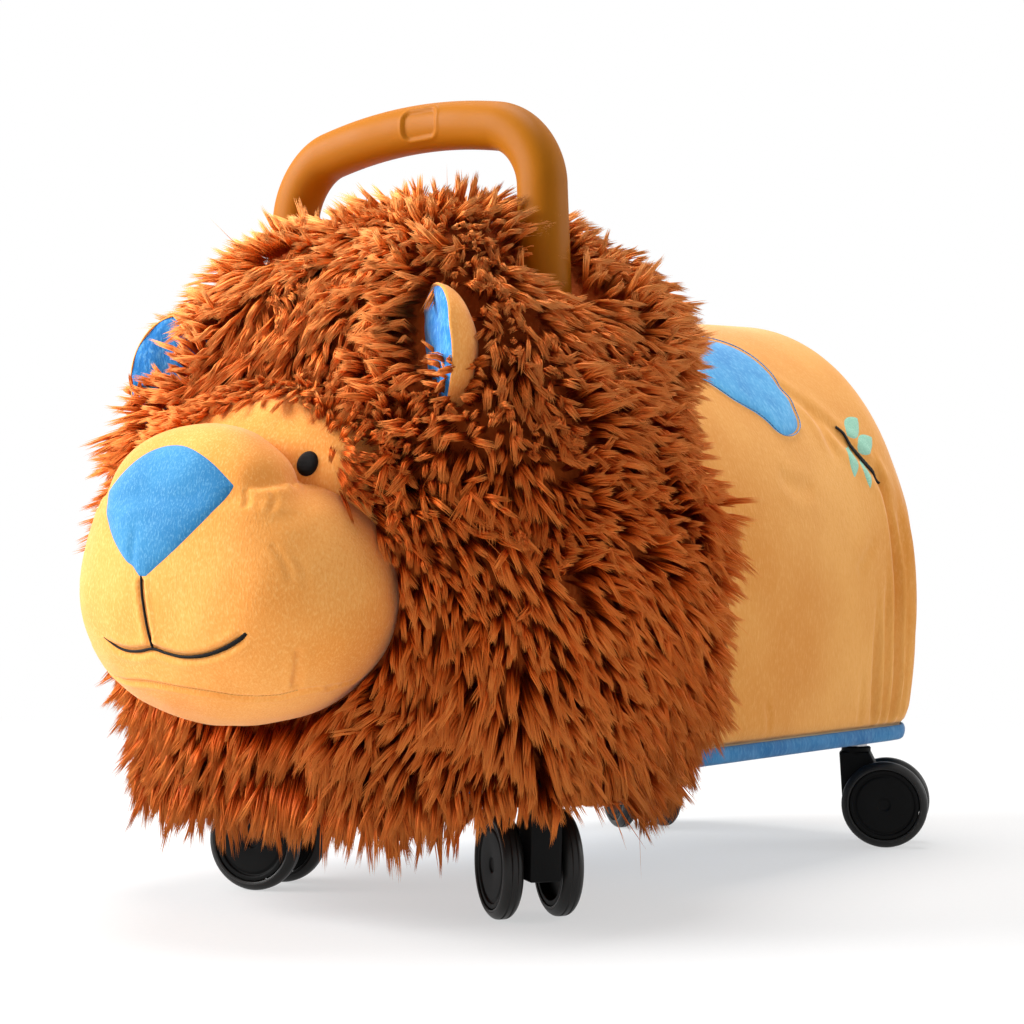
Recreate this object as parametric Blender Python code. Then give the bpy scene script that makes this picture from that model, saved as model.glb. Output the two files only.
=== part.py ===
"""Plush lion ride-on toy: a padded seat on a plywood board with four twin-wheel swivel casters.

The lion looks along -Y and stands on z = 0. +X is the lion's left side and +Z is up.
Lengths are written in millimetres and turned to metres where a point is made.
"""

import math

import bmesh
import bpy
from mathutils import Matrix, Vector

MM = 0.001

# Clearances
FIT_GAP = 0.3              # between two pieces that rest on each other
RUN_GAP = 0.3              # radial, round a turning pin
SWIVEL_CLEAR = 2.5         # between the fur and what the casters sweep
CUT_PAST = 5.0             # how far a cutter runs past the face that it opens

# Padded seat body, an arch that runs from chest to rump
BODY_HALF_WIDTH = 117.0
BODY_SPRING_Z = 148.0      # height at which the straight side turns into the arch
BODY_ARCH_RISE = 170.0     # arch height over the spring line, at the rump
BODY_BACK_SLOPE = 0.085    # how fast the ridge drops towards the head
BODY_REAR_Y = 264.0
BODY_FRONT_Y = -168.0
REAR_ROUND = 50.0          # round of the rump's edge
FRONT_ROUND = 30.0         # round of the chest's edge
SIDE_TUCK = 6.3            # how far the side pulls in at the base seam
COVER_SKIN = 3.0           # plush cover, as a skin

# Base
BASE_UNDERSIDE_Z = 62.5
BASE_CLOTH = 2.5           # blue cloth tray under the board
BASE_LIP = 9.0             # height of the blue strip that shows below the seam
BOARD_THICKNESS = 12.0

# Mane, long pile fur round the head and shoulders
MANE_CENTRE_Y = -88.0
MANE_HALF_WIDTH = 153.0
MANE_FRONT_DEPTH = 121.0
MANE_REAR_DEPTH = 112.0
MANE_REAR_LEAN = 0.15      # how much deeper the rear gets for each unit above the widest level
MANE_WIDEST_Z = 120.0
MANE_TOP_Z = 346.0
MANE_DROP = 110.0          # from the widest level to where the skirt would close
MANE_HEM_Z = 45.0
MANE_PLAN_POWER = 2.9      # fullness of the mane seen from above
MANE_CROWN_POWER = 2.2     # how late it starts to close above its widest level
MANE_CROWN_ROOT = 3.0      # how round it closes at the top
MANE_SKIRT_POWER = 2.4     # the same for the skirt below

# Face
FACE_CENTRE = (0.0, -170.0, 200.0)
FACE_RADII = (88.0, 54.0, 50.0)
CHEEK_CENTRE = (0.0, -211.7, 150.0)
CHEEK_RADII = (82.8, 52.4, 58.7)
CHEEK_POWER = 2.0
SNOUT_CENTRE = (0.0, -233.3, 165.0)
SNOUT_RADII = (61.0, 28.8, 60.0)
SNOUT_POWER = 2.31
NOSE_TIP_Z = 157.0
NOSE_TOP_Z = 216.0
NOSE_HALF_WIDTH = 39.0
NOSE_SHOULDER_Z = 193.0
NOSE_SIDE_POWER = 0.8      # under 1 the sides of the nose bulge on their way to the tip
NOSE_TIP_HALF_WIDTH = 3.0
NOSE_PAD = 1.6
EYE_X = 47.0
EYE_Z = 207.0
EYE_HALF_WIDTH = 4.6
EYE_HALF_HEIGHT = 5.6
EYE_PAD = 1.0
EAR_X = 88.0
EAR_Y = -171.6
EAR_Z = 265.0
EAR_HALF_WIDTH = 21.0
EAR_HALF_HEIGHT = 25.0
EAR_FRONT_DEPTH = 4.0
EAR_BACK_DEPTH = 8.0
EAR_TURN = 30.0            # degrees that the blue side looks inwards
EAR_HOLLOW = 27.0          # radius of the hollow in the fur in front of an ear
EAR_HOLLOW_INWARD = 8.0    # from the ear's centre to the hollow's
EAR_HOLLOW_FORWARD = 24.0
EAR_HOLLOW_UP = 8.0

# Handle
BAR_Y = -90.0
BAR_END_Z = 369.3          # centre of the bar where its corners start
BAR_CROWN = 12.0           # rise of the bar between its corners
BAR_RADIUS = 11.7
HANDLE_HALF_WIDTH = 80.7
HANDLE_CORNER = 26.0
LEG_SPLAY = 0.044          # sideways run of a leg for each unit of drop
RECESS_X = 13.0            # bare recess in the front of the bar, a little to the lion's left
RECESS_WIDTH = 21.0
RECESS_HEIGHT = 14.0
RECESS_DEPTH = 1.2
RECESS_CORNER = 4.0
FOOT_WIDTH = 46.0          # plate at the bottom of a leg
FOOT_DEPTH = 40.0
FOOT_THICKNESS = 7.0
FOOT_CORNER = 8.0
FOOT_SHIFT = -12.0         # from the leg to the plate's centre; minus is inwards
BOLT_SHIFT = -15.0         # from the plate's centre to its two bolts
BOLT_SPREAD = 22.0         # between the two bolts of a plate, along Y
BOLT_RADIUS = 3.0
BOLT_END = 2.0             # how far a bolt stands out of its nut
BOLT_HEAD_RADIUS = 6.0
BOLT_HEAD_THICKNESS = 3.0
NUT_RADIUS = 5.6
NUT_HEIGHT = 5.0

# Spot patch on the left flank
SPOT_Y = 88.0
SPOT_ANGLE = 50.0          # degrees up the arch
SPOT_HALF_LENGTH = 52.0
SPOT_HALF_WIDTH = 35.0
SPOT_TILT = -18.0
SPOT_PAD = 1.0

# Casters, with the direction from the pivot to the wheels in degrees, as they stand in the photo
FRONT_CASTER_INSET = 20.2      # from the body's side to the pivot
FRONT_CASTER_SETBACK = 54.8    # from the body's front to the pivot
REAR_CASTER_INSET = 36.6
REAR_CASTER_SETBACK = 41.5
CASTER_HEADINGS = {"front_left": 146.0, "front_right": 16.0, "rear_left": 24.0, "rear_right": -36.0}
CASTER_TRAIL = 17.2
WHEEL_RADIUS = 25.0
TYRE_THICKNESS = 4.8
TYRE_ROUND = 1.2
WHEEL_INNER = 9.5          # from the caster's middle plane to the tyre's inner side
WHEEL_OUTER = 19.5
DISC_RECESS = 1.0
DISC_THICKNESS = 3.0
RIM_WALL = 3.0
RIM_STEP = 0.4             # the rim ends this much inside its tyre
HUB_RADIUS = 11.0
HUB_PLAY = 0.4             # between the housing and a wheel's hub
HOUSING_HALF_WIDTH = 7.5
HOUSING_TOP_Z = 57.5
HOUSING_BOSS = 5.5         # radius of the housing round its axle
NECK_FRONT = 8.0           # from the pivot to the neck's front, over the wheels
NECK_BACK = 9.5            # from the pivot to the neck's back
NECK_BACK_LEAN = 2.0       # how far the back leans forward on its way down
NECK_BOTTOM_Z = 27.0
FLANGE_RADIUS = 8.6
FLANGE_HEIGHT = 2.6
FLANGE_TAPER = 2.0
AXLE_RADIUS = 3.0
AXLE_HALF_LENGTH = 16.0
STEM_RADIUS = 4.0
STEM_SEAT_Z = 39.0         # bottom of the stem in the housing
COLLAR_RADIUS = 6.5
INSERT_RADIUS = 5.6
INSERT_FLANGE_RADIUS = 10.0
INSERT_FLANGE_THICKNESS = 1.5

# Facets
WHEEL_SIDES = 20
PIN_SIDES = 10
NUT_SIDES = 6
TUBE_SIDES = 12
CORNER_STEPS = 6           # round a corner of the handle
LEG_STEPS = 3
BAR_STEPS = 3              # from the handle's corner to the middle of its bar
PLATE_STEPS = 3            # round a plate's corner
SIDE_STEPS = 3             # from the base seam to the spring line
ARCH_STEPS = 8             # from the spring line to the ridge
ROUND_STEPS = 4            # round the chest's and the rump's edge
SKIRT_STEPS = 2
CROWN_STEPS = 7
MANE_SIDES = 26
OVAL_SIDES = 20
OVAL_STEPS = 10
HOLLOW_SIDES = 10
HOLLOW_STEPS = 6
NOSE_STEPS = 6
EYE_SIDES = 12
EAR_SIDES = 20
EAR_STEPS = 4
SPOT_SIDES = 20
BOSS_STEPS = 8
CREASE_ANGLE = 35.0        # edges sharper than this many degrees show as edges

# What follows from the sizes above
BOARD_BOTTOM_Z = BASE_UNDERSIDE_Z + BASE_CLOTH + FIT_GAP
BOARD_TOP_Z = BOARD_BOTTOM_Z + BOARD_THICKNESS
SEAM_Z = BASE_UNDERSIDE_Z + BASE_LIP
BODY_BASE_Z = SEAM_Z + FIT_GAP
FOOT_Z = BOARD_TOP_Z + FIT_GAP
NUT_Z = FOOT_Z + FOOT_THICKNESS + FIT_GAP
CORNER_Z = BAR_END_Z - HANDLE_CORNER       # where a leg turns into the handle's corner
WHEEL_SWEEP = math.hypot(CASTER_TRAIL + WHEEL_RADIUS, WHEEL_OUTER)
SWEEP_TOP_Z = 2 * WHEEL_RADIUS + SWIVEL_CLEAR
FAR_BELOW = -CUT_PAST                      # under everything, for cutters that open a piece downwards


def clear_scene():
    """Remove every object, so that the script can be run again."""
    for obj in list(bpy.data.objects):
        bpy.data.objects.remove(obj, do_unlink=True)


def make_material(name, colour, roughness, metallic=0.0):
    """A plain finish: base colour, roughness and metallic value."""
    mat = bpy.data.materials.new(name)
    mat.use_nodes = True
    shader = mat.node_tree.nodes["Principled BSDF"]
    shader.inputs["Base Color"].default_value = (*colour, 1.0)
    shader.inputs["Roughness"].default_value = roughness
    shader.inputs["Metallic"].default_value = metallic
    mat.diffuse_color = (*colour, 1.0)
    return mat


def mesh_object(name, points, faces, mat=None, matrix=None):
    """An object from points in millimetres, with its faces turned outwards."""
    mesh = bpy.data.meshes.new(name)
    bm = bmesh.new()
    verts = [bm.verts.new(Vector(p) * MM) for p in points]
    for face in faces:
        bm.faces.new([verts[i] for i in face])
    bmesh.ops.recalc_face_normals(bm, faces=bm.faces)
    bm.to_mesh(mesh)
    bm.free()
    obj = bpy.data.objects.new(name, mesh)
    bpy.context.scene.collection.objects.link(obj)
    if matrix is not None:
        obj.matrix_world = matrix
    if mat is not None:
        mesh.materials.append(mat)
        mesh.shade_smooth()
        mesh.set_sharp_from_angle(angle=math.radians(CREASE_ANGLE))
    return obj


def loft(rings, warped=False):
    """Points and faces of a closed skin over equal rings, with a flat face at each end.

    A warped skin is split into triangles, the same way on each, so that nested skins stay parallel.
    """
    count = len(rings[0])
    points = [p for ring in rings for p in ring]
    faces = [list(range(count)), list(range(len(points) - count, len(points)))]
    for row in range(len(rings) - 1):
        a, b = row * count, (row + 1) * count
        for i in range(count):
            j = (i + 1) % count
            if warped:
                faces.append([a + i, a + j, b + j])
                faces.append([a + i, b + j, b + i])
            else:
                faces.append([a + i, a + j, b + j, b + i])
    return points, faces


def turned(profile, sides, closed=False, turn=0.5):
    """Points and faces of a (radius, height) profile turned about Z.

    An open profile starts and ends on the axis or gets a flat face there; a closed one is a ring.
    """
    rings = []
    for radius, height in profile:
        rings.append([
            (
                radius * math.cos(math.tau * (i + turn) / sides),
                radius * math.sin(math.tau * (i + turn) / sides),
                height,
            )
            for i in range(sides)
        ])
    points = [p for ring in rings for p in ring]
    faces = []
    count = len(rings)
    for row in range(count if closed else count - 1):
        a, b = row * sides, ((row + 1) % count) * sides
        for i in range(sides):
            j = (i + 1) % sides
            faces.append([a + i, a + j, b + j, b + i])
    if not closed:
        faces.append(list(range(sides)))
        faces.append(list(range(len(points) - sides, len(points))))
    return points, faces


def prism(outline, low, high):
    """Points and faces of an (x, y) outline raised from z = low to z = high."""
    return loft([[(x, y, z) for x, y in outline] for z in (low, high)])


def pin(radius, low, high, sides=PIN_SIDES):
    """Points and faces of a plain round pin, or of the cutter for its hole."""
    return turned([(radius, low), (radius, high)], sides)


def bore_radius(pin_radius):
    """The bore in which a faceted pin of this radius turns freely."""
    return pin_radius / math.cos(math.pi / PIN_SIDES) + RUN_GAP


def standing(x, y):
    """The place of a piece that stands at (x, y)."""
    return Matrix.Translation(Vector((x, y, 0.0)) * MM)


def as_cutter(obj):
    """Mark an object as a cutter, which is no piece of the toy."""
    obj.hide_render = True
    obj.display_type = "WIRE"
    return obj


def cut(obj, *cutters, operation="DIFFERENCE"):
    """Add a Boolean modifier for each cutter."""
    for cutter in cutters:
        mod = obj.modifiers.new(cutter.name, "BOOLEAN")
        mod.operation = operation
        mod.solver = "EXACT"
        mod.object = as_cutter(cutter)
    return obj


def body_section(y, inset, floor_z):
    """The arch at one y, as (x, z) points, pulled in by the end rounds and by inset.

    floor_z is where the section stands: None for the base seam, and lower or higher for other pieces.
    """
    rear, front = BODY_REAR_Y - inset, BODY_FRONT_Y + inset
    past_rear = max(0.0, y - (rear - REAR_ROUND + inset))
    past_front = max(0.0, (front + FRONT_ROUND - inset) - y)
    pull = 0.0
    for past, radius in ((past_rear, REAR_ROUND - inset), (past_front, FRONT_ROUND - inset)):
        past = min(past, radius)
        pull += radius - math.sqrt(max(0.0, radius * radius - past * past))
    half = BODY_HALF_WIDTH - inset - pull
    rise = BODY_ARCH_RISE - inset - pull - BODY_BACK_SLOPE * (BODY_REAR_Y - y)
    side = []
    for i in range(SIDE_STEPS):
        share = i / SIDE_STEPS
        tuck = SIDE_TUCK * (1 - share) ** 2
        side.append((half - tuck, BODY_BASE_Z + (BODY_SPRING_Z - BODY_BASE_Z) * share))
    if floor_z is not None and floor_z < BODY_BASE_Z:
        side.insert(0, (side[0][0], floor_z))
    elif floor_z is not None:
        (x0, z0), (x1, z1) = side[:2]
        side[0] = (x0 + (x1 - x0) * (floor_z - z0) / (z1 - z0), floor_z)
    arch = [
        (half * math.cos(a), BODY_SPRING_Z + rise * math.sin(a))
        for a in (0.5 * math.pi * i / ARCH_STEPS for i in range(ARCH_STEPS + 1))
    ]
    right = side + arch
    left = [(-x, z) for x, z in reversed(right[:-1])]
    return right + left


def body_stations(inset):
    """The y of each section, close together on the two end rounds."""
    rear, front = BODY_REAR_Y - inset, BODY_FRONT_Y + inset
    stations = []
    for i in range(ROUND_STEPS + 1):
        angle = 0.5 * math.pi * i / ROUND_STEPS
        stations.append(front + (FRONT_ROUND - inset) * (1 - math.cos(angle)))
    for i in range(ROUND_STEPS + 1):
        angle = 0.5 * math.pi * i / ROUND_STEPS
        stations.append(rear - (REAR_ROUND - inset) * (1 - math.sin(angle)))
    return stations


def body_solid(name, inset, floor_z=None, mat=None):
    """The padded body's form, inset from the cover's outer face; a negative inset is larger."""
    rings = []
    for y in body_stations(inset):
        rings.append([(x, y, z) for x, z in body_section(y, inset, floor_z)])
    return mesh_object(name, *loft(rings, warped=True), mat=mat)


def base_outline(inset):
    """The body's outline where it meets the base, as (x, y) points."""
    right = []
    for y in body_stations(inset):
        right.append((body_section(y, inset, None)[0][0], y))
    return right + [(-x, y) for x, y in reversed(right)]


def oval_solid(name, centre, radii, power=2.0, grow=0.0, across=OVAL_SIDES, around=OVAL_STEPS, mat=None):
    """A closed oval; power over 2 makes its sides fuller. grow moves its face outwards."""
    points = [(centre[0], centre[1] - radii[1] - grow, centre[2])]
    for row in range(1, around):
        lat = math.pi * row / around
        for i in range(across):
            lon = math.tau * i / across
            ray = Vector((math.sin(lat) * math.cos(lon), -math.cos(lat), math.sin(lat) * math.sin(lon)))
            size = sum(abs(ray[k] / (radii[k] + grow)) ** power for k in range(3)) ** (-1 / power)
            points.append(tuple(Vector(centre) + ray * size))
    points.append((centre[0], centre[1] + radii[1] + grow, centre[2]))
    last = len(points) - 1
    faces = []
    for i in range(across):
        j = (i + 1) % across
        faces.append([0, 1 + i, 1 + j])
        faces.append([last, last - across + j, last - across + i])
        for row in range(around - 2):
            a, b = 1 + row * across, 1 + (row + 1) * across
            faces.append([a + i, b + i, b + j])
            faces.append([a + i, b + j, a + j])
    return mesh_object(name, points, faces, mat=mat)


def muzzle_form(name, grow=0.0, mat=None):
    """The muzzle: wide cheeks with a narrower snout in front of and above them."""
    cheeks = oval_solid(name, CHEEK_CENTRE, CHEEK_RADII, CHEEK_POWER, grow, mat=mat)
    snout = oval_solid(f"{name}_snout", SNOUT_CENTRE, SNOUT_RADII, SNOUT_POWER, grow)
    return cut(cheeks, snout, operation="UNION")


def base_pieces(finish):
    """The plywood board and the blue cloth tray that wraps its underside and edge."""
    tray = mesh_object(
        "base_cover", *prism(base_outline(0.0), BASE_UNDERSIDE_Z, SEAM_Z), mat=finish["blue_plush"]
    )
    room = mesh_object(
        "tray_room",
        *prism(base_outline(COVER_SKIN - FIT_GAP), BASE_UNDERSIDE_Z + BASE_CLOTH, SEAM_Z + CUT_PAST),
    )
    cut(tray, room)
    board = mesh_object(
        "base_board", *prism(base_outline(COVER_SKIN), BOARD_BOTTOM_Z, BOARD_TOP_Z), mat=finish["plywood"]
    )
    for side in CASTER_HEADINGS:
        place = standing(*caster_pivot(side))
        hole_profile = insert_profile(FIT_GAP, BOARD_BOTTOM_Z - CUT_PAST, BOARD_TOP_Z + CUT_PAST)
        hole = mesh_object(f"insert_hole_{side}", *turned(hole_profile, PIN_SIDES), matrix=place)
        collar_hole = mesh_object(
            f"collar_hole_{side}",
            *pin(COLLAR_RADIUS + FIT_GAP, BASE_UNDERSIDE_Z - CUT_PAST, BOARD_TOP_Z),
            matrix=place,
        )
        cut(board, hole)
        cut(tray, collar_hole)
    for index, (x, y) in enumerate(bolt_places()):
        hole_profile = bolt_profile(FIT_GAP, BOARD_BOTTOM_Z - BASE_CLOTH, BOARD_TOP_Z + CUT_PAST)
        cut(board, mesh_object(f"bolt_hole_{index}", *turned(hole_profile, PIN_SIDES), matrix=standing(x, y)))


def caster_pivot(side):
    """The (x, y) of a caster's pivot, measured from the body's side and end."""
    end, flank = side.split("_")
    inset = FRONT_CASTER_INSET if end == "front" else REAR_CASTER_INSET
    x = BODY_HALF_WIDTH - inset
    y = BODY_FRONT_Y + FRONT_CASTER_SETBACK if end == "front" else BODY_REAR_Y - REAR_CASTER_SETBACK
    return (x if flank == "left" else -x), y


def insert_profile(grow, low, high):
    """Outer profile of the flanged insert that holds a caster stem in the board."""
    flange_low = BOARD_TOP_Z - INSERT_FLANGE_THICKNESS - grow
    return [
        (INSERT_RADIUS + grow, low),
        (INSERT_RADIUS + grow, flange_low),
        (INSERT_FLANGE_RADIUS + grow, flange_low),
        (INSERT_FLANGE_RADIUS + grow, high),
    ]


def bolt_places():
    """The (x, y) of each handle bolt."""
    leg_x = leg_offset(BOARD_TOP_Z)
    places = []
    for side in (1, -1):
        for step in (BOLT_SPREAD / 2, -BOLT_SPREAD / 2):
            places.append((side * (leg_x + FOOT_SHIFT + BOLT_SHIFT), BAR_Y + step))
    return places


def bolt_profile(grow, low, high):
    """Head and shank of a handle bolt; the head sits in the board's underside."""
    shoulder = BOARD_BOTTOM_Z + BOLT_HEAD_THICKNESS + FIT_GAP + grow
    return [
        (BOLT_HEAD_RADIUS + grow, low),
        (BOLT_HEAD_RADIUS + grow, shoulder),
        (BOLT_RADIUS + grow, shoulder),
        (BOLT_RADIUS + grow, high),
    ]


def leg_offset(z):
    """How far a leg's centre line is from the middle plane at height z."""
    return HANDLE_HALF_WIDTH + LEG_SPLAY * (CORNER_Z - z)


def bar_height(x):
    """Height of the bar's centre line at x, which rises from its corners to the middle."""
    return BAR_END_Z + BAR_CROWN * max(0.0, 1 - (x / HANDLE_HALF_WIDTH) ** 2)


def handle_path():
    """Centre line of the U, from the right foot over the bar to the left foot, as (x, z) points."""
    start = FOOT_Z + FOOT_THICKNESS / 2
    half = []
    for i in range(LEG_STEPS):
        z = start + (CORNER_Z - start) * i / LEG_STEPS
        half.append((leg_offset(z), z))
    inner = HANDLE_HALF_WIDTH - HANDLE_CORNER
    for i in range(CORNER_STEPS + 1):
        angle = 0.5 * math.pi * i / CORNER_STEPS
        half.append((inner + HANDLE_CORNER * math.cos(angle), CORNER_Z + HANDLE_CORNER * math.sin(angle)))
    for i in range(1, BAR_STEPS):
        half.append((inner * (1 - i / BAR_STEPS), BAR_END_Z))
    crowned = []
    for x, z in half:
        crowned.append((x, z - BAR_END_Z + bar_height(x)))
    middle = [(0.0, bar_height(0.0))]
    return [(-x, z) for x, z in crowned] + middle + list(reversed(crowned))


def tube_along(path, radius, y):
    """Rings of a round tube whose centre line lies in one XZ plane."""
    rings = []
    for index, (x, z) in enumerate(path):
        before = path[max(0, index - 1)]
        after = path[min(len(path) - 1, index + 1)]
        run = Vector((after[0] - before[0], 0.0, after[1] - before[1])).normalized()
        side = Vector((run.z, 0.0, -run.x))
        ring = []
        for i in range(TUBE_SIDES):
            angle = math.tau * (i + 0.5) / TUBE_SIDES
            offset = side * math.cos(angle) + Vector((0.0, 1.0, 0.0)) * math.sin(angle)
            ring.append(tuple(Vector((x, y, z)) + offset * radius))
        rings.append(ring)
    return rings


def rounded_plate(name, x, y, low, high, width, depth, corner, matrix=None):
    """A plate centred on (x, y) with rounded corners in plan."""
    outline = []
    for sx, sy, start in ((1, 1, 0.0), (-1, 1, 90.0), (-1, -1, 180.0), (1, -1, 270.0)):
        for i in range(PLATE_STEPS + 1):
            angle = math.radians(start + 90.0 * i / PLATE_STEPS)
            outline.append((
                x + sx * (width / 2 - corner) + corner * math.cos(angle),
                y + sy * (depth / 2 - corner) + corner * math.sin(angle),
            ))
    return mesh_object(name, *prism(outline, low, high), matrix=matrix)


def foot_centre(side):
    """The x of a foot plate's centre; side is 1 on the left and -1 on the right."""
    return side * (leg_offset(BOARD_TOP_Z) + FOOT_SHIFT)


def handle_pieces(finish):
    """The U handle with a plate at each foot, its bolts and its nuts."""
    handle = mesh_object("handle", *loft(tube_along(handle_path(), BAR_RADIUS, BAR_Y)), mat=finish["handle"])
    for side, word in ((1, "left"), (-1, "right")):
        foot = rounded_plate(
            f"foot_{word}", foot_centre(side), BAR_Y, FOOT_Z, FOOT_Z + FOOT_THICKNESS,
            FOOT_WIDTH, FOOT_DEPTH, FOOT_CORNER,
        )
        cut(handle, foot, operation="UNION")
    for index, (x, y) in enumerate(bolt_places()):
        low, high = FOOT_Z - CUT_PAST, FOOT_Z + FOOT_THICKNESS + CUT_PAST
        hole = mesh_object(
            f"foot_hole_{index}", *pin(BOLT_RADIUS + FIT_GAP, low, high), matrix=standing(x, y)
        )
        cut(handle, hole)
    upright = Matrix.Rotation(math.radians(90), 4, "X")
    recess = rounded_plate(
        "grip_recess", 0.0, 0.0, BAR_RADIUS - RECESS_DEPTH, BAR_RADIUS + CUT_PAST,
        RECESS_WIDTH, RECESS_HEIGHT, RECESS_CORNER,
        matrix=Matrix.Translation(Vector((RECESS_X, BAR_Y, bar_height(RECESS_X))) * MM) @ upright,
    )
    cut(handle, recess)
    for index, (x, y) in enumerate(bolt_places()):
        place = standing(x, y)
        profile = bolt_profile(0.0, BOARD_BOTTOM_Z + FIT_GAP, NUT_Z + NUT_HEIGHT + BOLT_END)
        mesh_object(f"handle_bolt_{index + 1}", *turned(profile, PIN_SIDES), mat=finish["steel"], matrix=place)
        nut = mesh_object(
            f"handle_nut_{index + 1}",
            *pin(NUT_RADIUS, NUT_Z, NUT_Z + NUT_HEIGHT, NUT_SIDES),
            mat=finish["steel"],
            matrix=place,
        )
        low, high = NUT_Z - CUT_PAST, NUT_Z + NUT_HEIGHT + CUT_PAST
        cut(nut, mesh_object(f"nut_bore_{index}", *pin(BOLT_RADIUS + FIT_GAP, low, high), matrix=place))


def leg_cutters(word_for):
    """A tube with room for each leg, for the pieces that a leg passes through."""
    cutters = []
    for side, word in ((1, "left"), (-1, "right")):
        path = [(side * leg_offset(z), z) for z in (BOARD_TOP_Z - CUT_PAST, CORNER_Z)]
        rings = tube_along(path, BAR_RADIUS / math.cos(math.pi / TUBE_SIDES) + FIT_GAP, BAR_Y)
        cutters.append(mesh_object(f"{word_for}_leg_{word}", *loft(rings)))
    return cutters


def body_pieces(finish):
    """The foam block and the yellow plush cover over it."""
    cover = body_solid("body_cover", 0.0, mat=finish["yellow_plush"])
    room = body_solid("cover_room", COVER_SKIN, floor_z=BODY_BASE_Z - CUT_PAST)
    cut(cover, room)
    foam = body_solid("body_foam", COVER_SKIN + FIT_GAP, floor_z=BOARD_TOP_Z + FIT_GAP, mat=finish["foam"])
    for side, word in ((1, "left"), (-1, "right")):
        pocket_top = NUT_Z + NUT_HEIGHT + BOLT_END + FIT_GAP
        pocket = rounded_plate(
            f"foot_pocket_{word}", foot_centre(side), BAR_Y, BOARD_TOP_Z - CUT_PAST, pocket_top,
            FOOT_WIDTH + 2 * FIT_GAP, FOOT_DEPTH + 2 * FIT_GAP, FOOT_CORNER + FIT_GAP,
        )
        cut(foam, pocket)
    cut(foam, *leg_cutters("foam"))
    cut(cover, *leg_cutters("cover"))


def mane_share(z):
    """How much of its full width the mane has at height z."""
    if z >= MANE_WIDEST_Z:
        t = (z - MANE_WIDEST_Z) / (MANE_TOP_Z - MANE_WIDEST_Z)
        return max(0.0, 1 - t ** MANE_CROWN_POWER) ** (1 / MANE_CROWN_ROOT)
    t = (MANE_WIDEST_Z - z) / MANE_DROP
    return max(0.0, 1 - t ** MANE_SKIRT_POWER) ** (1 / MANE_SKIRT_POWER)


def mane_ring(z):
    """The mane's outline at height z: a full oval with flattened sides, deeper behind than in front."""
    share = mane_share(z)
    rear_depth = MANE_REAR_DEPTH + MANE_REAR_LEAN * max(0.0, z - MANE_WIDEST_Z)
    ring = []
    for i in range(MANE_SIDES):
        angle = math.tau * (i + 0.5) / MANE_SIDES
        c, s = math.cos(angle), math.sin(angle)
        size = share * (abs(c) ** MANE_PLAN_POWER + abs(s) ** MANE_PLAN_POWER) ** (-1 / MANE_PLAN_POWER)
        depth = rear_depth if s > 0 else MANE_FRONT_DEPTH
        ring.append((MANE_HALF_WIDTH * size * c, MANE_CENTRE_Y + depth * size * s, z))
    return ring


def mane_piece(finish, seats):
    """The fur as one soft solid over the front of the body, open underneath for the casters."""
    levels = []
    for i in range(SKIRT_STEPS):
        levels.append(MANE_HEM_Z + (MANE_WIDEST_Z - MANE_HEM_Z) * i / SKIRT_STEPS)
    for i in range(CROWN_STEPS):
        rise = math.sin(0.5 * math.pi * i / CROWN_STEPS)
        levels.append(MANE_WIDEST_Z + (MANE_TOP_Z - MANE_WIDEST_Z) * rise)
    mane = mesh_object("mane", *loft([mane_ring(z) for z in levels], warped=True), mat=finish["fur"])
    under = body_solid("mane_body_room", -FIT_GAP, floor_z=FAR_BELOW)
    pivot_x, pivot_y = caster_pivot("front_left")
    reach = WHEEL_SWEEP + SWIVEL_CLEAR
    front, back = pivot_y - reach, MANE_CENTRE_Y + MANE_REAR_DEPTH + CUT_PAST
    swivel_room = rounded_plate(
        "mane_swivel_room", 0.0, (front + back) / 2, FAR_BELOW, SWEEP_TOP_Z,
        2 * (pivot_x + reach), back - front, reach,
    )
    cut(mane, *seats, under, swivel_room, *leg_cutters("mane"))


def nose_outline():
    """The nose panel seen from the front, as (x, z) points: a shield with a soft point below."""
    right = []
    for i in range(NOSE_STEPS + 1):
        angle = 0.5 * math.pi * i / NOSE_STEPS
        right.append((
            NOSE_HALF_WIDTH * math.sin(angle),
            NOSE_SHOULDER_Z + (NOSE_TOP_Z - NOSE_SHOULDER_Z) * math.cos(angle),
        ))
    for i in range(1, NOSE_STEPS + 1):
        share = i / NOSE_STEPS
        narrowing = (1 - share) ** NOSE_SIDE_POWER
        right.append((
            NOSE_TIP_HALF_WIDTH + (NOSE_HALF_WIDTH - NOSE_TIP_HALF_WIDTH) * narrowing,
            NOSE_SHOULDER_Z + (NOSE_TIP_Z - NOSE_SHOULDER_Z) * share,
        ))
    return right + [(-x, z) for x, z in reversed(right[1:])]


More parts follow.
